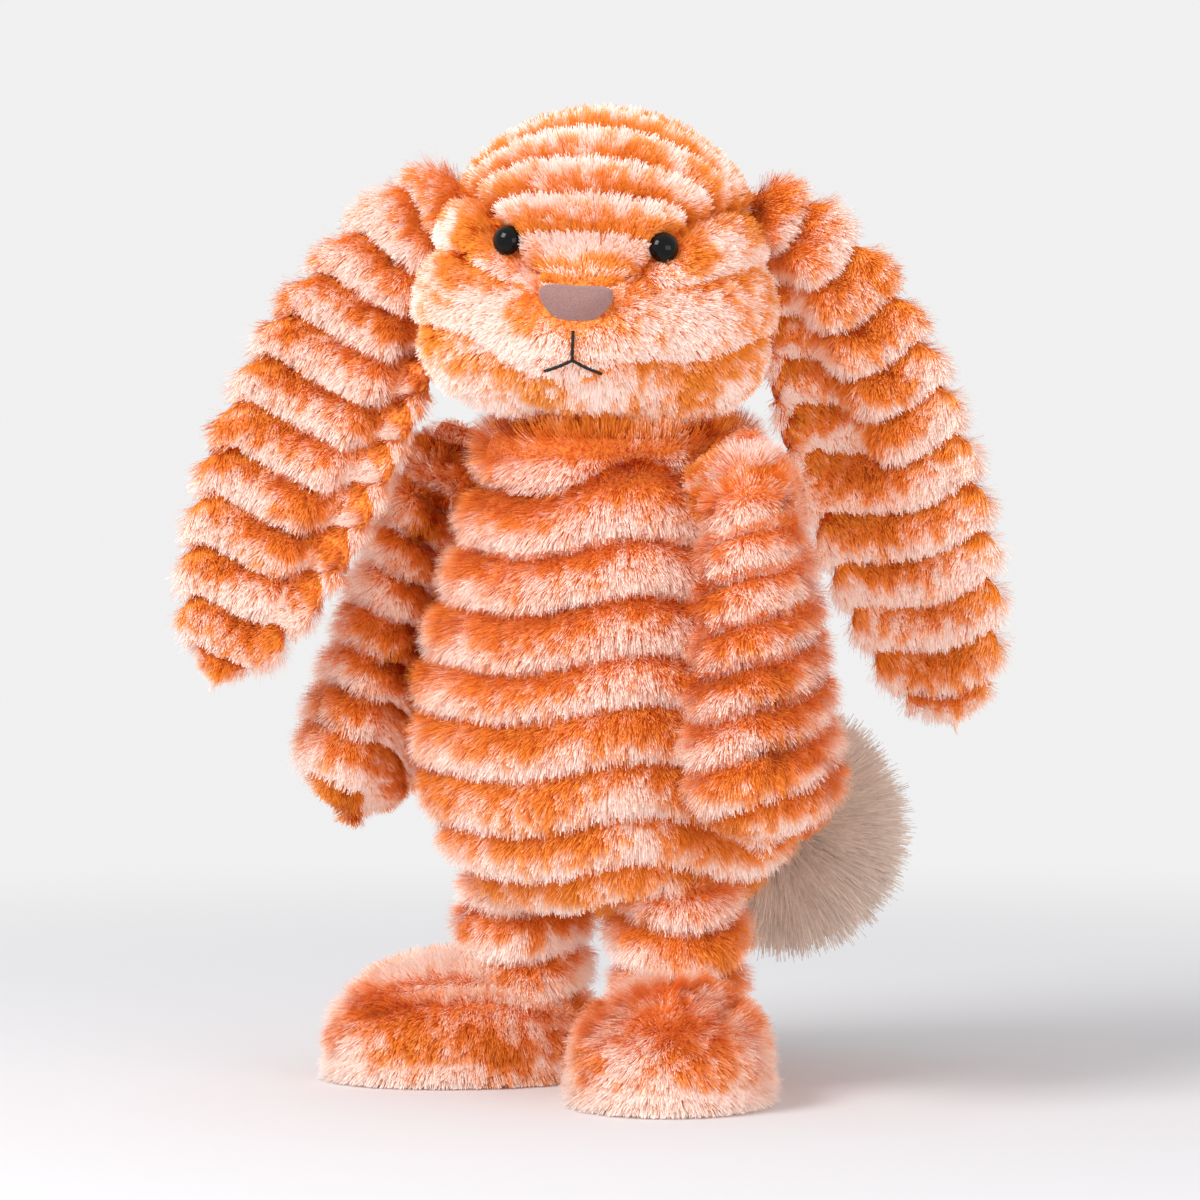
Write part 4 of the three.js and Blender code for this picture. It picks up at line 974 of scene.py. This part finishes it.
def split_head(whole):
    """Cuts the head's skin along its seams into the gusset and the two cheeks."""
    work = bmesh.new()
    work.from_mesh(whole)
    to_frame = lambda point: Vector(head_to_body(np.asarray(point, float)) * 0.001 + AXIS)
    planes = [seam_plane(1), seam_plane(-1), (-UP, CHIN_DROP), (np.array([1.0, 0, 0]), 0.0)]
    for normal, far in planes:
        bmesh.ops.bisect_plane(
            work,
            geom=[*work.verts, *work.edges, *work.faces],
            plane_co=to_frame(normal * far),
            plane_no=Vector(HEAD_MATRIX @ normal),
        )
    work.faces.ensure_lookup_table()
    groups = {"head_gusset": [], "head_cheek_left": [], "head_cheek_right": []}
    for face in work.faces:
        middle = (np.array(face.calc_center_median()) - AXIS) * 1000 - HEAD_CENTRE
        middle = middle @ HEAD_MATRIX
        chin = middle[2] < -CHIN_DROP and middle[1] < 3
        past = {side: normal @ middle > far for side, (normal, far) in ((1, planes[0]), (-1, planes[1]))}
        if past[1] or (chin and middle[0] > 0):
            groups["head_cheek_left"].append(face.index)
        elif past[-1] or chin:
            groups["head_cheek_right"].append(face.index)
        else:
            groups["head_gusset"].append(face.index)
    made = {}
    for name, kept in groups.items():
        part = work.copy()
        part.faces.ensure_lookup_table()
        kept = set(kept)
        bmesh.ops.delete(part, geom=[f for f in part.faces if f.index not in kept], context="FACES")
        made[name] = bpy.data.meshes.new(f"{name}_skin")
        part.to_mesh(made[name])
        part.free()
    work.free()
    bpy.data.meshes.remove(whole)
    return made


def make_arm(word, sizes):
    side = SIDES[word]
    forward, splay = math.radians(ARM_FORWARD), math.radians(ARM_SPLAY)
    outward = np.array([side * math.cos(forward), -math.sin(forward), 0])
    normal = outward * math.cos(splay) + UP * math.sin(splay)
    plane = body_reach(normal)
    height = BODY_TOP - SHOULDER_DROP
    centre = outward * (plane + SHOULDER_OUT - height * normal[2]) / math.cos(splay) + UP * height
    down = unit(-UP + normal * (UP @ normal))
    down = turn(normal, -side * ARM_LEAN[word]) @ down
    across = np.cross(normal, down)
    start = centre + normal * (ARM_THICKNESS * 0.34 - SHOULDER_OUT) - down * SHOULDER_RADIUS
    rows, sides = 96, 96
    share = np.linspace(0.004, 0.996, rows)
    half = read_table(ARM_OUTLINE, share)[:, None]
    angle = np.linspace(0, 2 * np.pi, sides, endpoint=False)

    def surface(grow):
        grow = np.broadcast_to(grow, (rows, sides)) * smooth(0, 0.4, half)
        along = 0.5 + (share[:, None] - 0.5) * (1 + 2 * grow / ARM_LENGTH)
        points = (
            start
            + down * (along * ARM_LENGTH)[..., None]
            + across * ((half * ARM_WIDTH / 2 + grow) * np.cos(angle))[..., None]
            + normal * ((half * ARM_THICKNESS / 2 + grow) * np.sin(angle))[..., None]
        )
        short = np.maximum(plane + 0.6 - points @ normal, 0)
        points = points + normal * short[..., None]
        # The shoulder's ball stands in towards the body.
        off_axis = np.linalg.norm(np.cross(points - centre, normal), axis=-1)
        ball = np.sqrt(np.maximum((SHOULDER_RADIUS + 0.4 * grow) ** 2 - off_axis**2, 0))
        inward = np.maximum(points @ normal - (plane + SHOULDER_OUT - ball), 0)
        inward = np.where((ball > 0) & (np.sin(angle) < 0), inward, 0)
        return points - normal * inward[..., None]

    wave = 0.1 * np.sin(2 * angle + 1) + 0.08 * np.sin(3 * angle + side)
    rib = share[:, None] * ARM_LENGTH / (sizes.rib_pitch * 1000) + wave
    rib = rib + ARM_SLANT * half * np.cos(angle) + ARM_FIRST_RIB
    blunt = (smooth(0, 0.17, share) * smooth(0, 0.1, 1 - share))[:, None]
    skin = Skin(surface, rib, sizes.rib_depth * 1000 * blunt, sizes.pile_sink * 1000)
    clear = skin.shown @ normal - plane
    end = np.broadcast_to(1 - smooth(0, 0.1, 1 - share)[:, None], skin.rib.shape)
    top = np.broadcast_to((smooth(0, 0.05, share) * (1 - smooth(0.1, 0.2, share)))[:, None], end.shape)
    skin.stand(np.maximum(end, top))
    skin.pile *= 0.55 + 0.45 * smooth(0.5, 6, clear)
    skin.pile *= 0.5 + 0.5 * smooth(0, 0.06, share)[:, None]
    skin.pile *= 1 - 0.35 * end
    # Painted shade: the pile stays darker orange on the arm's inner side, where it lies against the body
    beside = (1 - smooth(3, 11, clear)) * (1 - smooth(0.55, 0.8, share))[:, None]
    skin.tint += ARM_TOP_TINT * (1 - smooth(0.04, 0.16, share))[:, None] + ARM_INSIDE_SHADE_TINT * beside
    skin.lift = np.where((clear < 0.7)[..., None], -normal, skin.lift)
    arm = f"arm_{word}"
    dress(arm, skin.mesh(f"{arm}_skin"), arm, [f"{arm}_skin", f"{arm}_fill"], sizes)


def leg_to_body(points, word):
    hip = np.array([SIDES[word] * HIP_SPREAD, -HIP_FORWARD, 0])
    return points @ turn((0, 0, 1), SIDES[word] * FOOT_SPLAY[word]).T + hip


def make_leg(word, sizes):
    rows, sides = 40, 90
    height = np.linspace(HIP_HEIGHT + HIP_RADIUS - 4, FOOT_HEIGHT / 2, rows)
    angle = np.linspace(0, 2 * np.pi, sides, endpoint=False)
    dome = np.sqrt(np.maximum(HIP_RADIUS**2 - (height - HIP_HEIGHT) ** 2, 0))
    radius = np.where(height > HIP_HEIGHT, dome, np.maximum(dome, LEG_RADIUS))[:, None] + 0.4

    def surface(grow):
        grow = np.broadcast_to(grow, (rows, sides))
        tall = np.broadcast_to(height[:, None], (rows, sides))
        points = np.stack([(radius + grow) * np.cos(angle), (radius + grow) * np.sin(angle), tall], -1)
        return leg_to_body(points, word)

    wave = 0.12 * np.sin(2 * angle + SIDES[word]) + 0.1 * np.sin(angle)
    rib = (LEG_TOP_RIB - height[:, None]) / (sizes.rib_pitch * 1000) + wave
    skin = Skin(surface, rib, sizes.rib_depth * 1000, sizes.pile_sink * 1000)
    leg = f"leg_{word}"
    dress(leg, skin.mesh(f"{leg}_skin"), leg, [f"{leg}_skin", f"{leg}_fill"], sizes)


def make_foot(word, sizes):
    rows, sides = 56, 110
    lean = np.linspace(0.05, 2.5, rows)
    angle = np.linspace(0, 2 * np.pi, sides, endpoint=False)
    a, b = np.meshgrid(lean, angle, indexing="ij")
    way = np.stack([np.sin(a) * np.cos(b), np.sin(a) * np.sin(b), np.cos(a)], -1)
    rise = (FOOT_HEIGHT + FOOT_CUT) / 2
    swell = 1 - TOE_SWELL * way[..., 1]

    def surface(grow):
        grow = np.broadcast_to(grow, (rows, sides))
        points = np.stack(
            [
                way[..., 0] * (FOOT_WIDTH / 2 + grow) * swell,
                way[..., 1] * (FOOT_LENGTH / 2 + grow) - FOOT_LENGTH / 2 + FOOT_HEEL,
                np.maximum(way[..., 2] * (rise + grow) + FOOT_HEIGHT - rise, SOLE),
            ],
            -1,
        )
        return leg_to_body(points, word)

    side = np.arctan2(np.abs(way[..., 0]), way[..., 2])
    front = smooth(0.2, 0.9, -way[..., 1])
    crease = np.exp(-(((side - FOOT_CREASE_AT) / FOOT_CREASE_WIDTH) ** 2)) * (1 - front)
    low = np.maximum(way[..., 2] * rise + FOOT_HEIGHT - rise, SOLE)
    sink = sizes.pile_sink * 1000 * (0.2 + 0.8 * smooth(SOLE, SOLE + 7, low)) + FOOT_CREASE * crease
    skin = Skin(surface, 0.4, 0.0, sink)
    comb = np.stack([np.sign(way[..., 0]) * np.cos(side), np.full(side.shape, -0.45), -np.sin(side)], -1)
    comb = comb * (1 - front)[..., None] - UP * front[..., None]
    comb = comb @ turn((0, 0, 1), SIDES[word] * FOOT_SPLAY[word]).T
    skin.nap = unit(comb - skin.lift * (comb * skin.lift).sum(-1, keepdims=True))
    skin.mottle[:] = 0.75
    # Painted shade: the pile stays darker orange in the crease along each side of the foot
    skin.tint += FOOT_TINT + FRINGE_TINT * (1 - smooth(4, 13, low)) + CREASE_SHADE_TINT * crease
    skin.cover *= smooth(SOLE - 0.2, SOLE + 0.6, low)
    fringe = (1 - smooth(SOLE, SOLE + 5, low))[..., None]
    skin.nap = unit(skin.nap * (1 - fringe) - UP * fringe)
    ankle = leg_to_body(np.zeros(3), word)
    near = np.linalg.norm(skin.shown[..., :2] - ankle[:2], axis=-1)
    skin.cover *= np.where((near < 15) & (low > 24), 0.0, 1.0)
    foot = f"foot_{word}"
    nodes = [f"{foot}_upper", f"{foot}_fill"]
    dress(foot, skin.mesh(f"{foot}_skin"), f"leg_{word}", nodes, sizes, Patch_Size=FOOT_PATCH)
    make_sole(word)


def make_sole(word):
    """The sole: a flat pad with a turned rim, in woven cloth."""
    sides = 72
    angle = np.linspace(0, 2 * np.pi, sides, endpoint=False)
    rise = (FOOT_HEIGHT + FOOT_CUT) / 2
    flat = math.sqrt(1 - ((SOLE / 2 - FOOT_HEIGHT + rise) / rise) ** 2)
    rings = []
    for inset, height in ((9, 0.0), (1.2, 0.0), (0.4, 0.4), (0, 1.4), (0.4, 2.4), (1.2, 2.9), (9, 3.0)):
        swell = 1 - TOE_SWELL * np.sin(angle) * flat
        wide = (FOOT_WIDTH / 2 * flat * swell - inset) * np.cos(angle)
        long = (FOOT_LENGTH / 2 * flat - inset) * np.sin(angle) - FOOT_LENGTH / 2 + FOOT_HEEL
        rings.append(leg_to_body(np.stack([wide, long, np.full(sides, height)], -1), word))
    sole = f"foot_{word}_sole"
    mesh = lathe_mesh(f"{sole}_pad", np.array(rings))
    add_piece(f"{sole}_pad", mesh, "sole_cloth", f"leg_{word}", sole)


def lathe_mesh(name, rings):
    """A closed mesh from rings of points, filled at both ends, facing out."""
    count, sides = rings.shape[:2]
    points = np.vstack([rings.reshape(-1, 3), rings[0].mean(0), rings[-1].mean(0)])
    faces = []
    for ring in range(count - 1):
        for k in range(sides):
            n = (k + 1) % sides
            faces.append([ring * sides + k, ring * sides + n, (ring + 1) * sides + n, (ring + 1) * sides + k])
    last = (count - 1) * sides
    for k in range(sides):
        n = (k + 1) % sides
        faces.append([count * sides, n, k])
        faces.append([count * sides + 1, last + k, last + n])
    made = plain_mesh(name, points, faces)
    face_out(made)
    return made


def ball_rings(radius, rows, sides):
    lean = np.linspace(0.06, np.pi - 0.06, rows)
    angle = np.linspace(0, 2 * np.pi, sides, endpoint=False)
    a, b = np.meshgrid(lean, angle, indexing="ij")
    return np.stack([np.sin(a) * np.cos(b), np.sin(a) * np.sin(b), np.cos(a)], -1) * radius


def make_tail(sizes):
    deep = read_table(BODY_OUTLINE, (TAIL_HEIGHT - BODY_BASE) / BODY_HEIGHT) * BODY_DEPTH / 2
    centre = np.array([0, deep + TAIL_RADIUS - TAIL_SINK, TAIL_HEIGHT])
    rings = ball_rings(1.0, 50, 80)

    def surface(grow):
        radius = TAIL_RADIUS - TAIL_HAIR_DEPTH + np.broadcast_to(grow, rings.shape[:2])
        return centre + rings * radius[..., None]

    skin = Skin(surface, 0.5, 0.0, 0.0)
    skin.mottle[:] = 0.4
    skin.cover *= smooth(-0.95, -0.6, rings[..., 1])
    droop = np.array([0, 0.9, -0.45])
    skin.nap = unit(droop - skin.lift * (skin.lift @ droop)[..., None])
    mesh = skin.mesh("tail_skin")
    settings = {
        "Density": sizes.pile_density * TAIL_DENSITY,
        "Length": sizes.tail_length,
        "Width": sizes.strand_width,
        "Tuft Size": sizes.tuft * TAIL_TUFT,
        "Loft": TAIL_LOFT,
        "Stray": TAIL_STRAY,
        "Gather": TAIL_GATHER,
        "Seed": TAIL_SEED,
        "Material": material("tail_pile"),
    }
    grow_pile("tail_pile", mesh, "tail", "tail_pile", **settings)
    add_skin("tail_core", mesh, "tail_cloth", "tail", ["tail_skin", "tail_fill"], sizes.cloth)


def axis_frame(aim, depth):
    """A button's seat under the head's pile, and its axes across, up and out, in the head's frame."""
    out = unit(aim)
    seat = head_point(aim, -depth)
    across = unit(np.cross(UP, -out)) if abs(out[2]) < 0.99 else np.array([1.0, 0, 0])
    return seat, across, np.cross(out, across) * -1, out


def make_eyes():
    for word, side in SIDES.items():
        seat, across, up, out = axis_frame(EYE_AIM * [side, 1, 1], EYE_SEAT)
        steps = np.linspace(0, np.pi / 2 - 0.02, 12)
        dome = [(EYE_RADIUS * math.cos(t), EYE_DOME * math.sin(t)) for t in steps]
        edge = [(EYE_RADIUS - 0.5, -0.7), (EYE_RADIUS - 0.12, -0.4)]
        shank = [(SHANK_RADIUS, -SHANK_LENGTH), (SHANK_RADIUS, -0.9), (SHANK_RADIUS + 0.4, -0.7)]
        angle = np.linspace(0, 2 * np.pi, 40, endpoint=False)
        rings = np.array(
            [
                seat + out * along + radius * (np.cos(angle)[:, None] * across + np.sin(angle)[:, None] * up)
                for radius, along in shank + edge + dome
            ]
        )
        mesh = lathe_mesh(f"eye_{word}_bead", head_to_body(rings))
        add_piece(f"eye_{word}_bead", mesh, "bead", "head", f"eye_{word}")


def nose_outline(count):
    """The nose from the front: a wide triangle with rounded corners and a straight top."""
    half, top, tip = NOSE_WIDTH / 2, NOSE_HEIGHT * 0.42, -NOSE_HEIGHT * 0.58
    corners = np.array(
        [
            (0, top), (half * 0.72, top), (half * 0.95, top - 0.9), (half, top - 2.6),
            (half * 0.9, top - 5.6), (half * 0.7, tip + 4), (half * 0.42, tip + 1.6), (0, tip),
            (-half * 0.42, tip + 1.6), (-half * 0.7, tip + 4), (-half * 0.9, top - 5.6),
            (-half, top - 2.6), (-half * 0.95, top - 0.9), (-half * 0.72, top), (0, top),
        ]
    )
    points = spline(np.hstack([corners, np.zeros((len(corners), 1))]), count + 1)[0]
    return points[:-1, :2]


def make_nose():
    seat, across, up, out = axis_frame(NOSE_AIM, NOSE_SEAT)
    outline = nose_outline(72)
    flat = outline[:, :1] * across + outline[:, 1:] * up
    # Rings as shares of the outline and of the thickness: the back, the round edge, the domed front
    rings = [(share, 0.0) for share in (0.12, 0.5, 0.9)]
    for t in np.linspace(-0.5, 1, 10) * math.pi / 2:
        rings.append((0.9 + 0.1 * math.cos(t), 0.34 + 0.34 * math.sin(t)))
    for share in (0.8, 0.62, 0.42, 0.2, 0.06):
        rings.append((share, 0.68 + 0.32 * (1 - (share / 0.9) ** 2)))
    points = np.array([seat + out * NOSE_THICKNESS * rise + share * flat for share, rise in rings])
    mesh = lathe_mesh("nose_button", head_to_body(points))
    add_piece("nose_button", mesh, "flock", "head", "nose")


def make_mouth():
    """Twisted thread: a stem and two arms, each a two-ply tube."""
    points, faces = [], []
    rows, sides = 40, 12
    angle = np.linspace(0, 2 * np.pi, sides, endpoint=False)
    for stroke in mouth_strokes():
        places, length = spline(stroke, rows)
        tangent = unit(np.gradient(places, axis=0))
        side = unit(np.cross(tangent, unit(places)))
        out = np.cross(side, tangent)
        twist = np.linspace(0, length / MOUTH_TWIST * 2 * np.pi, rows)[:, None]
        radius = MOUTH_THREAD / 2 * (0.78 + 0.22 * np.abs(np.cos(angle - twist / 2)))
        radius[[0, -1]] *= 0.3
        rings = places[:, None] + (radius * np.cos(angle))[..., None] * side[:, None]
        rings = rings + (radius * np.sin(angle))[..., None] * out[:, None]
        base = len(points)
        points.extend(head_to_body(rings).reshape(-1, 3))
        last = base + (rows - 1) * sides
        for low in range(base, last, sides):
            for k in range(sides):
                n = (k + 1) % sides
                faces.append([low + k, low + n, low + sides + n, low + sides + k])
        faces.append([base + k for k in range(sides)][::-1])
        faces.append([last + k for k in range(sides)])
    mesh = plain_mesh("mouth_stitch", np.array(points), faces)
    face_out(mesh)
    add_piece("mouth_stitch", mesh, "thread", "head", "mouth_thread")


def make_neck():
    centre = np.array([0, -NECK_FORWARD, BODY_TOP])
    rings = ball_rings(NECK_BALL - 0.4, 24, 40)
    lumps = 0.5 * np.sin(rings[..., 0] * 0.9) * np.cos(rings[..., 1] * 0.8 + rings[..., 2] * 0.5)
    rings = rings * (1 + lumps / NECK_BALL)[..., None]
    mesh = lathe_mesh("neck_wadding", centre + rings)
    add_piece("neck_wadding", mesh, "wadding", "neck", "neck_wad")


def finish_washers():
    for name in ("nose_washer", "eye_washer_left", "eye_washer_right"):
        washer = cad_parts[name]
        washer.data.materials.clear()
        washer.data.materials.append(material("washer"))


# Stage


CAMERA_AZIMUTH, CAMERA_ELEVATION, CAMERA_DISTANCE = 40.0, 3.5, 2.3
PHOTO_WIDTH = 0.375
AIM_RIGHT, AIM_HEIGHT = -0.0056, 0.1515
BACKGROUND = (0.875, 0.875, 0.875, 1)
WORLD_LIGHT = (0.66, 0.66, 0.67, 1)
# Each lamp's place in metres, to the picture's right, to the camera and up, then its width and its watts
LAMPS = {"key": (-0.95, 0.75, 1.15, 0.7, 18.0), "fill": (0.9, 1.1, 0.2, 1.0, 8.0)}
# Rings of the floor, and where it runs into the background, in metres
FLOOR_RINGS, FLOOR_FADE = (0.25, 0.6, 1.2, 3, 8), (0.3, 0.75)


def make_stage(colours):
    scene = bpy.context.scene
    scene.view_settings.view_transform = "Standard"
    turned, raised = math.radians(CAMERA_AZIMUTH), math.radians(CAMERA_ELEVATION)
    right = Vector((math.cos(turned), math.sin(turned), 0))
    front = Vector((math.sin(turned), -math.cos(turned), 0))
    back = front * math.cos(raised) + Vector((0, 0, math.sin(raised)))
    aim = Vector(AXIS) + right * AIM_RIGHT + Vector((0, 0, AIM_HEIGHT))
    camera = bpy.data.objects.new("camera", bpy.data.cameras.new("camera"))
    camera.data.sensor_width = 36
    camera.data.lens = 18 / (PHOTO_WIDTH / 2 / CAMERA_DISTANCE)
    camera.location = aim + back * CAMERA_DISTANCE
    camera.rotation_euler = (-back).to_track_quat("-Z", "Y").to_euler()
    scene.collection.objects.link(camera)
    scene.camera = camera

    for name, (aside, ahead, above, size, power) in LAMPS.items():
        place = right * aside + front * ahead + Vector((0, 0, above))
        lamp = bpy.data.lights.new(name, "AREA")
        lamp.size = size
        lamp.energy = power
        made = bpy.data.objects.new(name, lamp)
        made.location = Vector(AXIS) + place
        made.rotation_euler = (Vector((0, 0, 0.15)) - place).to_track_quat("-Z", "Y").to_euler()
        scene.collection.objects.link(made)

    world = bpy.data.worlds.new("studio")
    world.use_nodes = True
    scene.world = world
    w = Wires(world.node_tree)
    sky = world.node_tree.nodes["Background"]
    sky.inputs["Strength"].default_value = 1.0
    seen = seen_directly(w)
    pale = w.add("ShaderNodeMix", {"Factor": seen, 6: WORLD_LIGHT, 7: BACKGROUND}, data_type="RGBA")
    world.node_tree.links.new(pale.outputs[2], sky.inputs["Color"])

    sides = 96
    angle = np.linspace(0, 2 * np.pi, sides, endpoint=False)
    rim = np.stack([np.cos(angle), np.sin(angle), np.zeros(sides)], -1)
    points = np.vstack([rim * 1000 * radius for radius in FLOOR_RINGS] + [np.zeros((1, 3))])
    faces = [[k, (k + 1) % sides, len(points) - 1] for k in range(sides)]
    for ring in range(len(FLOOR_RINGS) - 1):
        for k in range(sides):
            n = (k + 1) % sides
            faces.append([(ring + 1) * sides + k, (ring + 1) * sides + n, ring * sides + n, ring * sides + k])
    floor = add_object("floor", plain_mesh("floor", points, faces))
    floor.data.materials.append(floor_material(colours))


def seen_directly(w):
    """1 for rays from the camera and for those that a glossy or clear surface sends on."""
    path = w.add("ShaderNodeLightPath").outputs
    seen = w.math("MAXIMUM", path["Is Camera Ray"], path["Is Glossy Ray"])
    return w.math("MAXIMUM", seen, path["Is Transmission Ray"])


def floor_material(colours):
    """Pale floor that keeps the shadow near the object and runs into the background further out."""
    made, w, shader = new_material("studio_floor", 0.9)
    shader.inputs["Base Color"].default_value = tuple(colours.floor)
    shader.inputs["Specular IOR Level"].default_value = 0.1
    links = made.node_tree.links
    at = w.add("ShaderNodeTexCoord").outputs["Object"]
    away = w.vector("LENGTH", w.vector("MULTIPLY", at, (1.0, 1.0, 0.0)))
    far = w.math("MULTIPLY", w.ramp(away, *FLOOR_FADE), seen_directly(w))
    glow = w.add("ShaderNodeEmission", {"Color": BACKGROUND, "Strength": 1.0})
    mixed = w.add("ShaderNodeMixShader", {0: far, 1: shader.outputs[0], 2: glow.outputs[0]})
    output = next(n for n in made.node_tree.nodes if n.type == "OUTPUT_MATERIAL")
    links.new(mixed.outputs[0], output.inputs["Surface"])
    return made


class RabbitOperator:
    bl_options = {"REGISTER", "UNDO"}

    def execute(self, context):
        self.make(context.scene.rabbit_sizes, context.scene.rabbit_colours)
        return {"FINISHED"}


class RABBIT_OT_stage(RabbitOperator, bpy.types.Operator):
    """Add the pale floor, the soft light and the camera"""

    bl_idname = "rabbit.stage"
    bl_label = "Studio Stage"

    def make(self, sizes, colours):
        make_stage(colours)


class RABBIT_OT_body(RabbitOperator, bpy.types.Operator):
    """Dress the two halves of the body, and the wadding at the neck"""

    bl_idname = "rabbit.body"
    bl_label = "Body"

    def make(self, sizes, colours):
        make_body(sizes)
        make_neck()


class RABBIT_OT_head(RabbitOperator, bpy.types.Operator):
    """Dress the head's gusset and cheeks"""

    bl_idname = "rabbit.head"
    bl_label = "Head"

    def make(self, sizes, colours):
        make_head(sizes)


class RABBIT_OT_face(RabbitOperator, bpy.types.Operator):
    """Set the eyes, the nose, the mouth and their washers"""

    bl_idname = "rabbit.face"
    bl_label = "Face"

    def make(self, sizes, colours):
        make_eyes()
        make_nose()
        make_mouth()
        finish_washers()


class RABBIT_OT_ears(RabbitOperator, bpy.types.Operator):
    """Dress the lining and the back of each ear"""

    bl_idname = "rabbit.ears"
    bl_label = "Ears"

    def make(self, sizes, colours):
        for word in SIDES:
            make_ear(word, sizes)


class RABBIT_OT_arms(RabbitOperator, bpy.types.Operator):
    """Dress the arms"""

    bl_idname = "rabbit.arms"
    bl_label = "Arms"

    def make(self, sizes, colours):
        for word in SIDES:
            make_arm(word, sizes)


class RABBIT_OT_legs(RabbitOperator, bpy.types.Operator):
    """Dress the legs and the feet, with their soles"""

    bl_idname = "rabbit.legs"
    bl_label = "Legs and Feet"

    def make(self, sizes, colours):
        for word in SIDES:
            make_leg(word, sizes)
            make_foot(word, sizes)


class RABBIT_OT_tail(RabbitOperator, bpy.types.Operator):
    """Make the long-haired tail"""

    bl_idname = "rabbit.tail"
    bl_label = "Tail"

    def make(self, sizes, colours):
        make_tail(sizes)


OPERATORS = (
    RABBIT_OT_stage, RABBIT_OT_body, RABBIT_OT_head, RABBIT_OT_face,
    RABBIT_OT_ears, RABBIT_OT_arms, RABBIT_OT_legs, RABBIT_OT_tail,
)


class RABBIT_PT_panel(bpy.types.Panel):
    """Sizes and colours of the rabbit, and its pieces in the order that they are made"""

    bl_idname = "RABBIT_PT_panel"
    bl_label = "Plush Rabbit"
    bl_space_type = "VIEW_3D"
    bl_region_type = "UI"
    bl_category = "Plush Rabbit"

    def draw(self, context):
        for group in (context.scene.rabbit_sizes, context.scene.rabbit_colours):
            box = self.layout.box()
            for key in type(group).__annotations__:
                box.prop(group, key)
        for operator in OPERATORS:
            self.layout.operator(operator.bl_idname)


CLASSES = (RabbitSizes, RabbitColours, *OPERATORS, RABBIT_PT_panel)


def register():
    for each in CLASSES:
        bpy.utils.register_class(each)
    bpy.types.Scene.rabbit_sizes = bpy.props.PointerProperty(type=RabbitSizes)
    bpy.types.Scene.rabbit_colours = bpy.props.PointerProperty(type=RabbitColours)


def unregister():
    del bpy.types.Scene.rabbit_sizes
    del bpy.types.Scene.rabbit_colours
    for each in reversed(CLASSES):
        bpy.utils.unregister_class(each)


def main():
    register()
    bpy.ops.rabbit.stage()
    bpy.ops.rabbit.body()
    bpy.ops.rabbit.head()
    bpy.ops.rabbit.face()
    bpy.ops.rabbit.ears()
    bpy.ops.rabbit.arms()
    bpy.ops.rabbit.legs()
    bpy.ops.rabbit.tail()


if __name__ == "__main__":
    main()
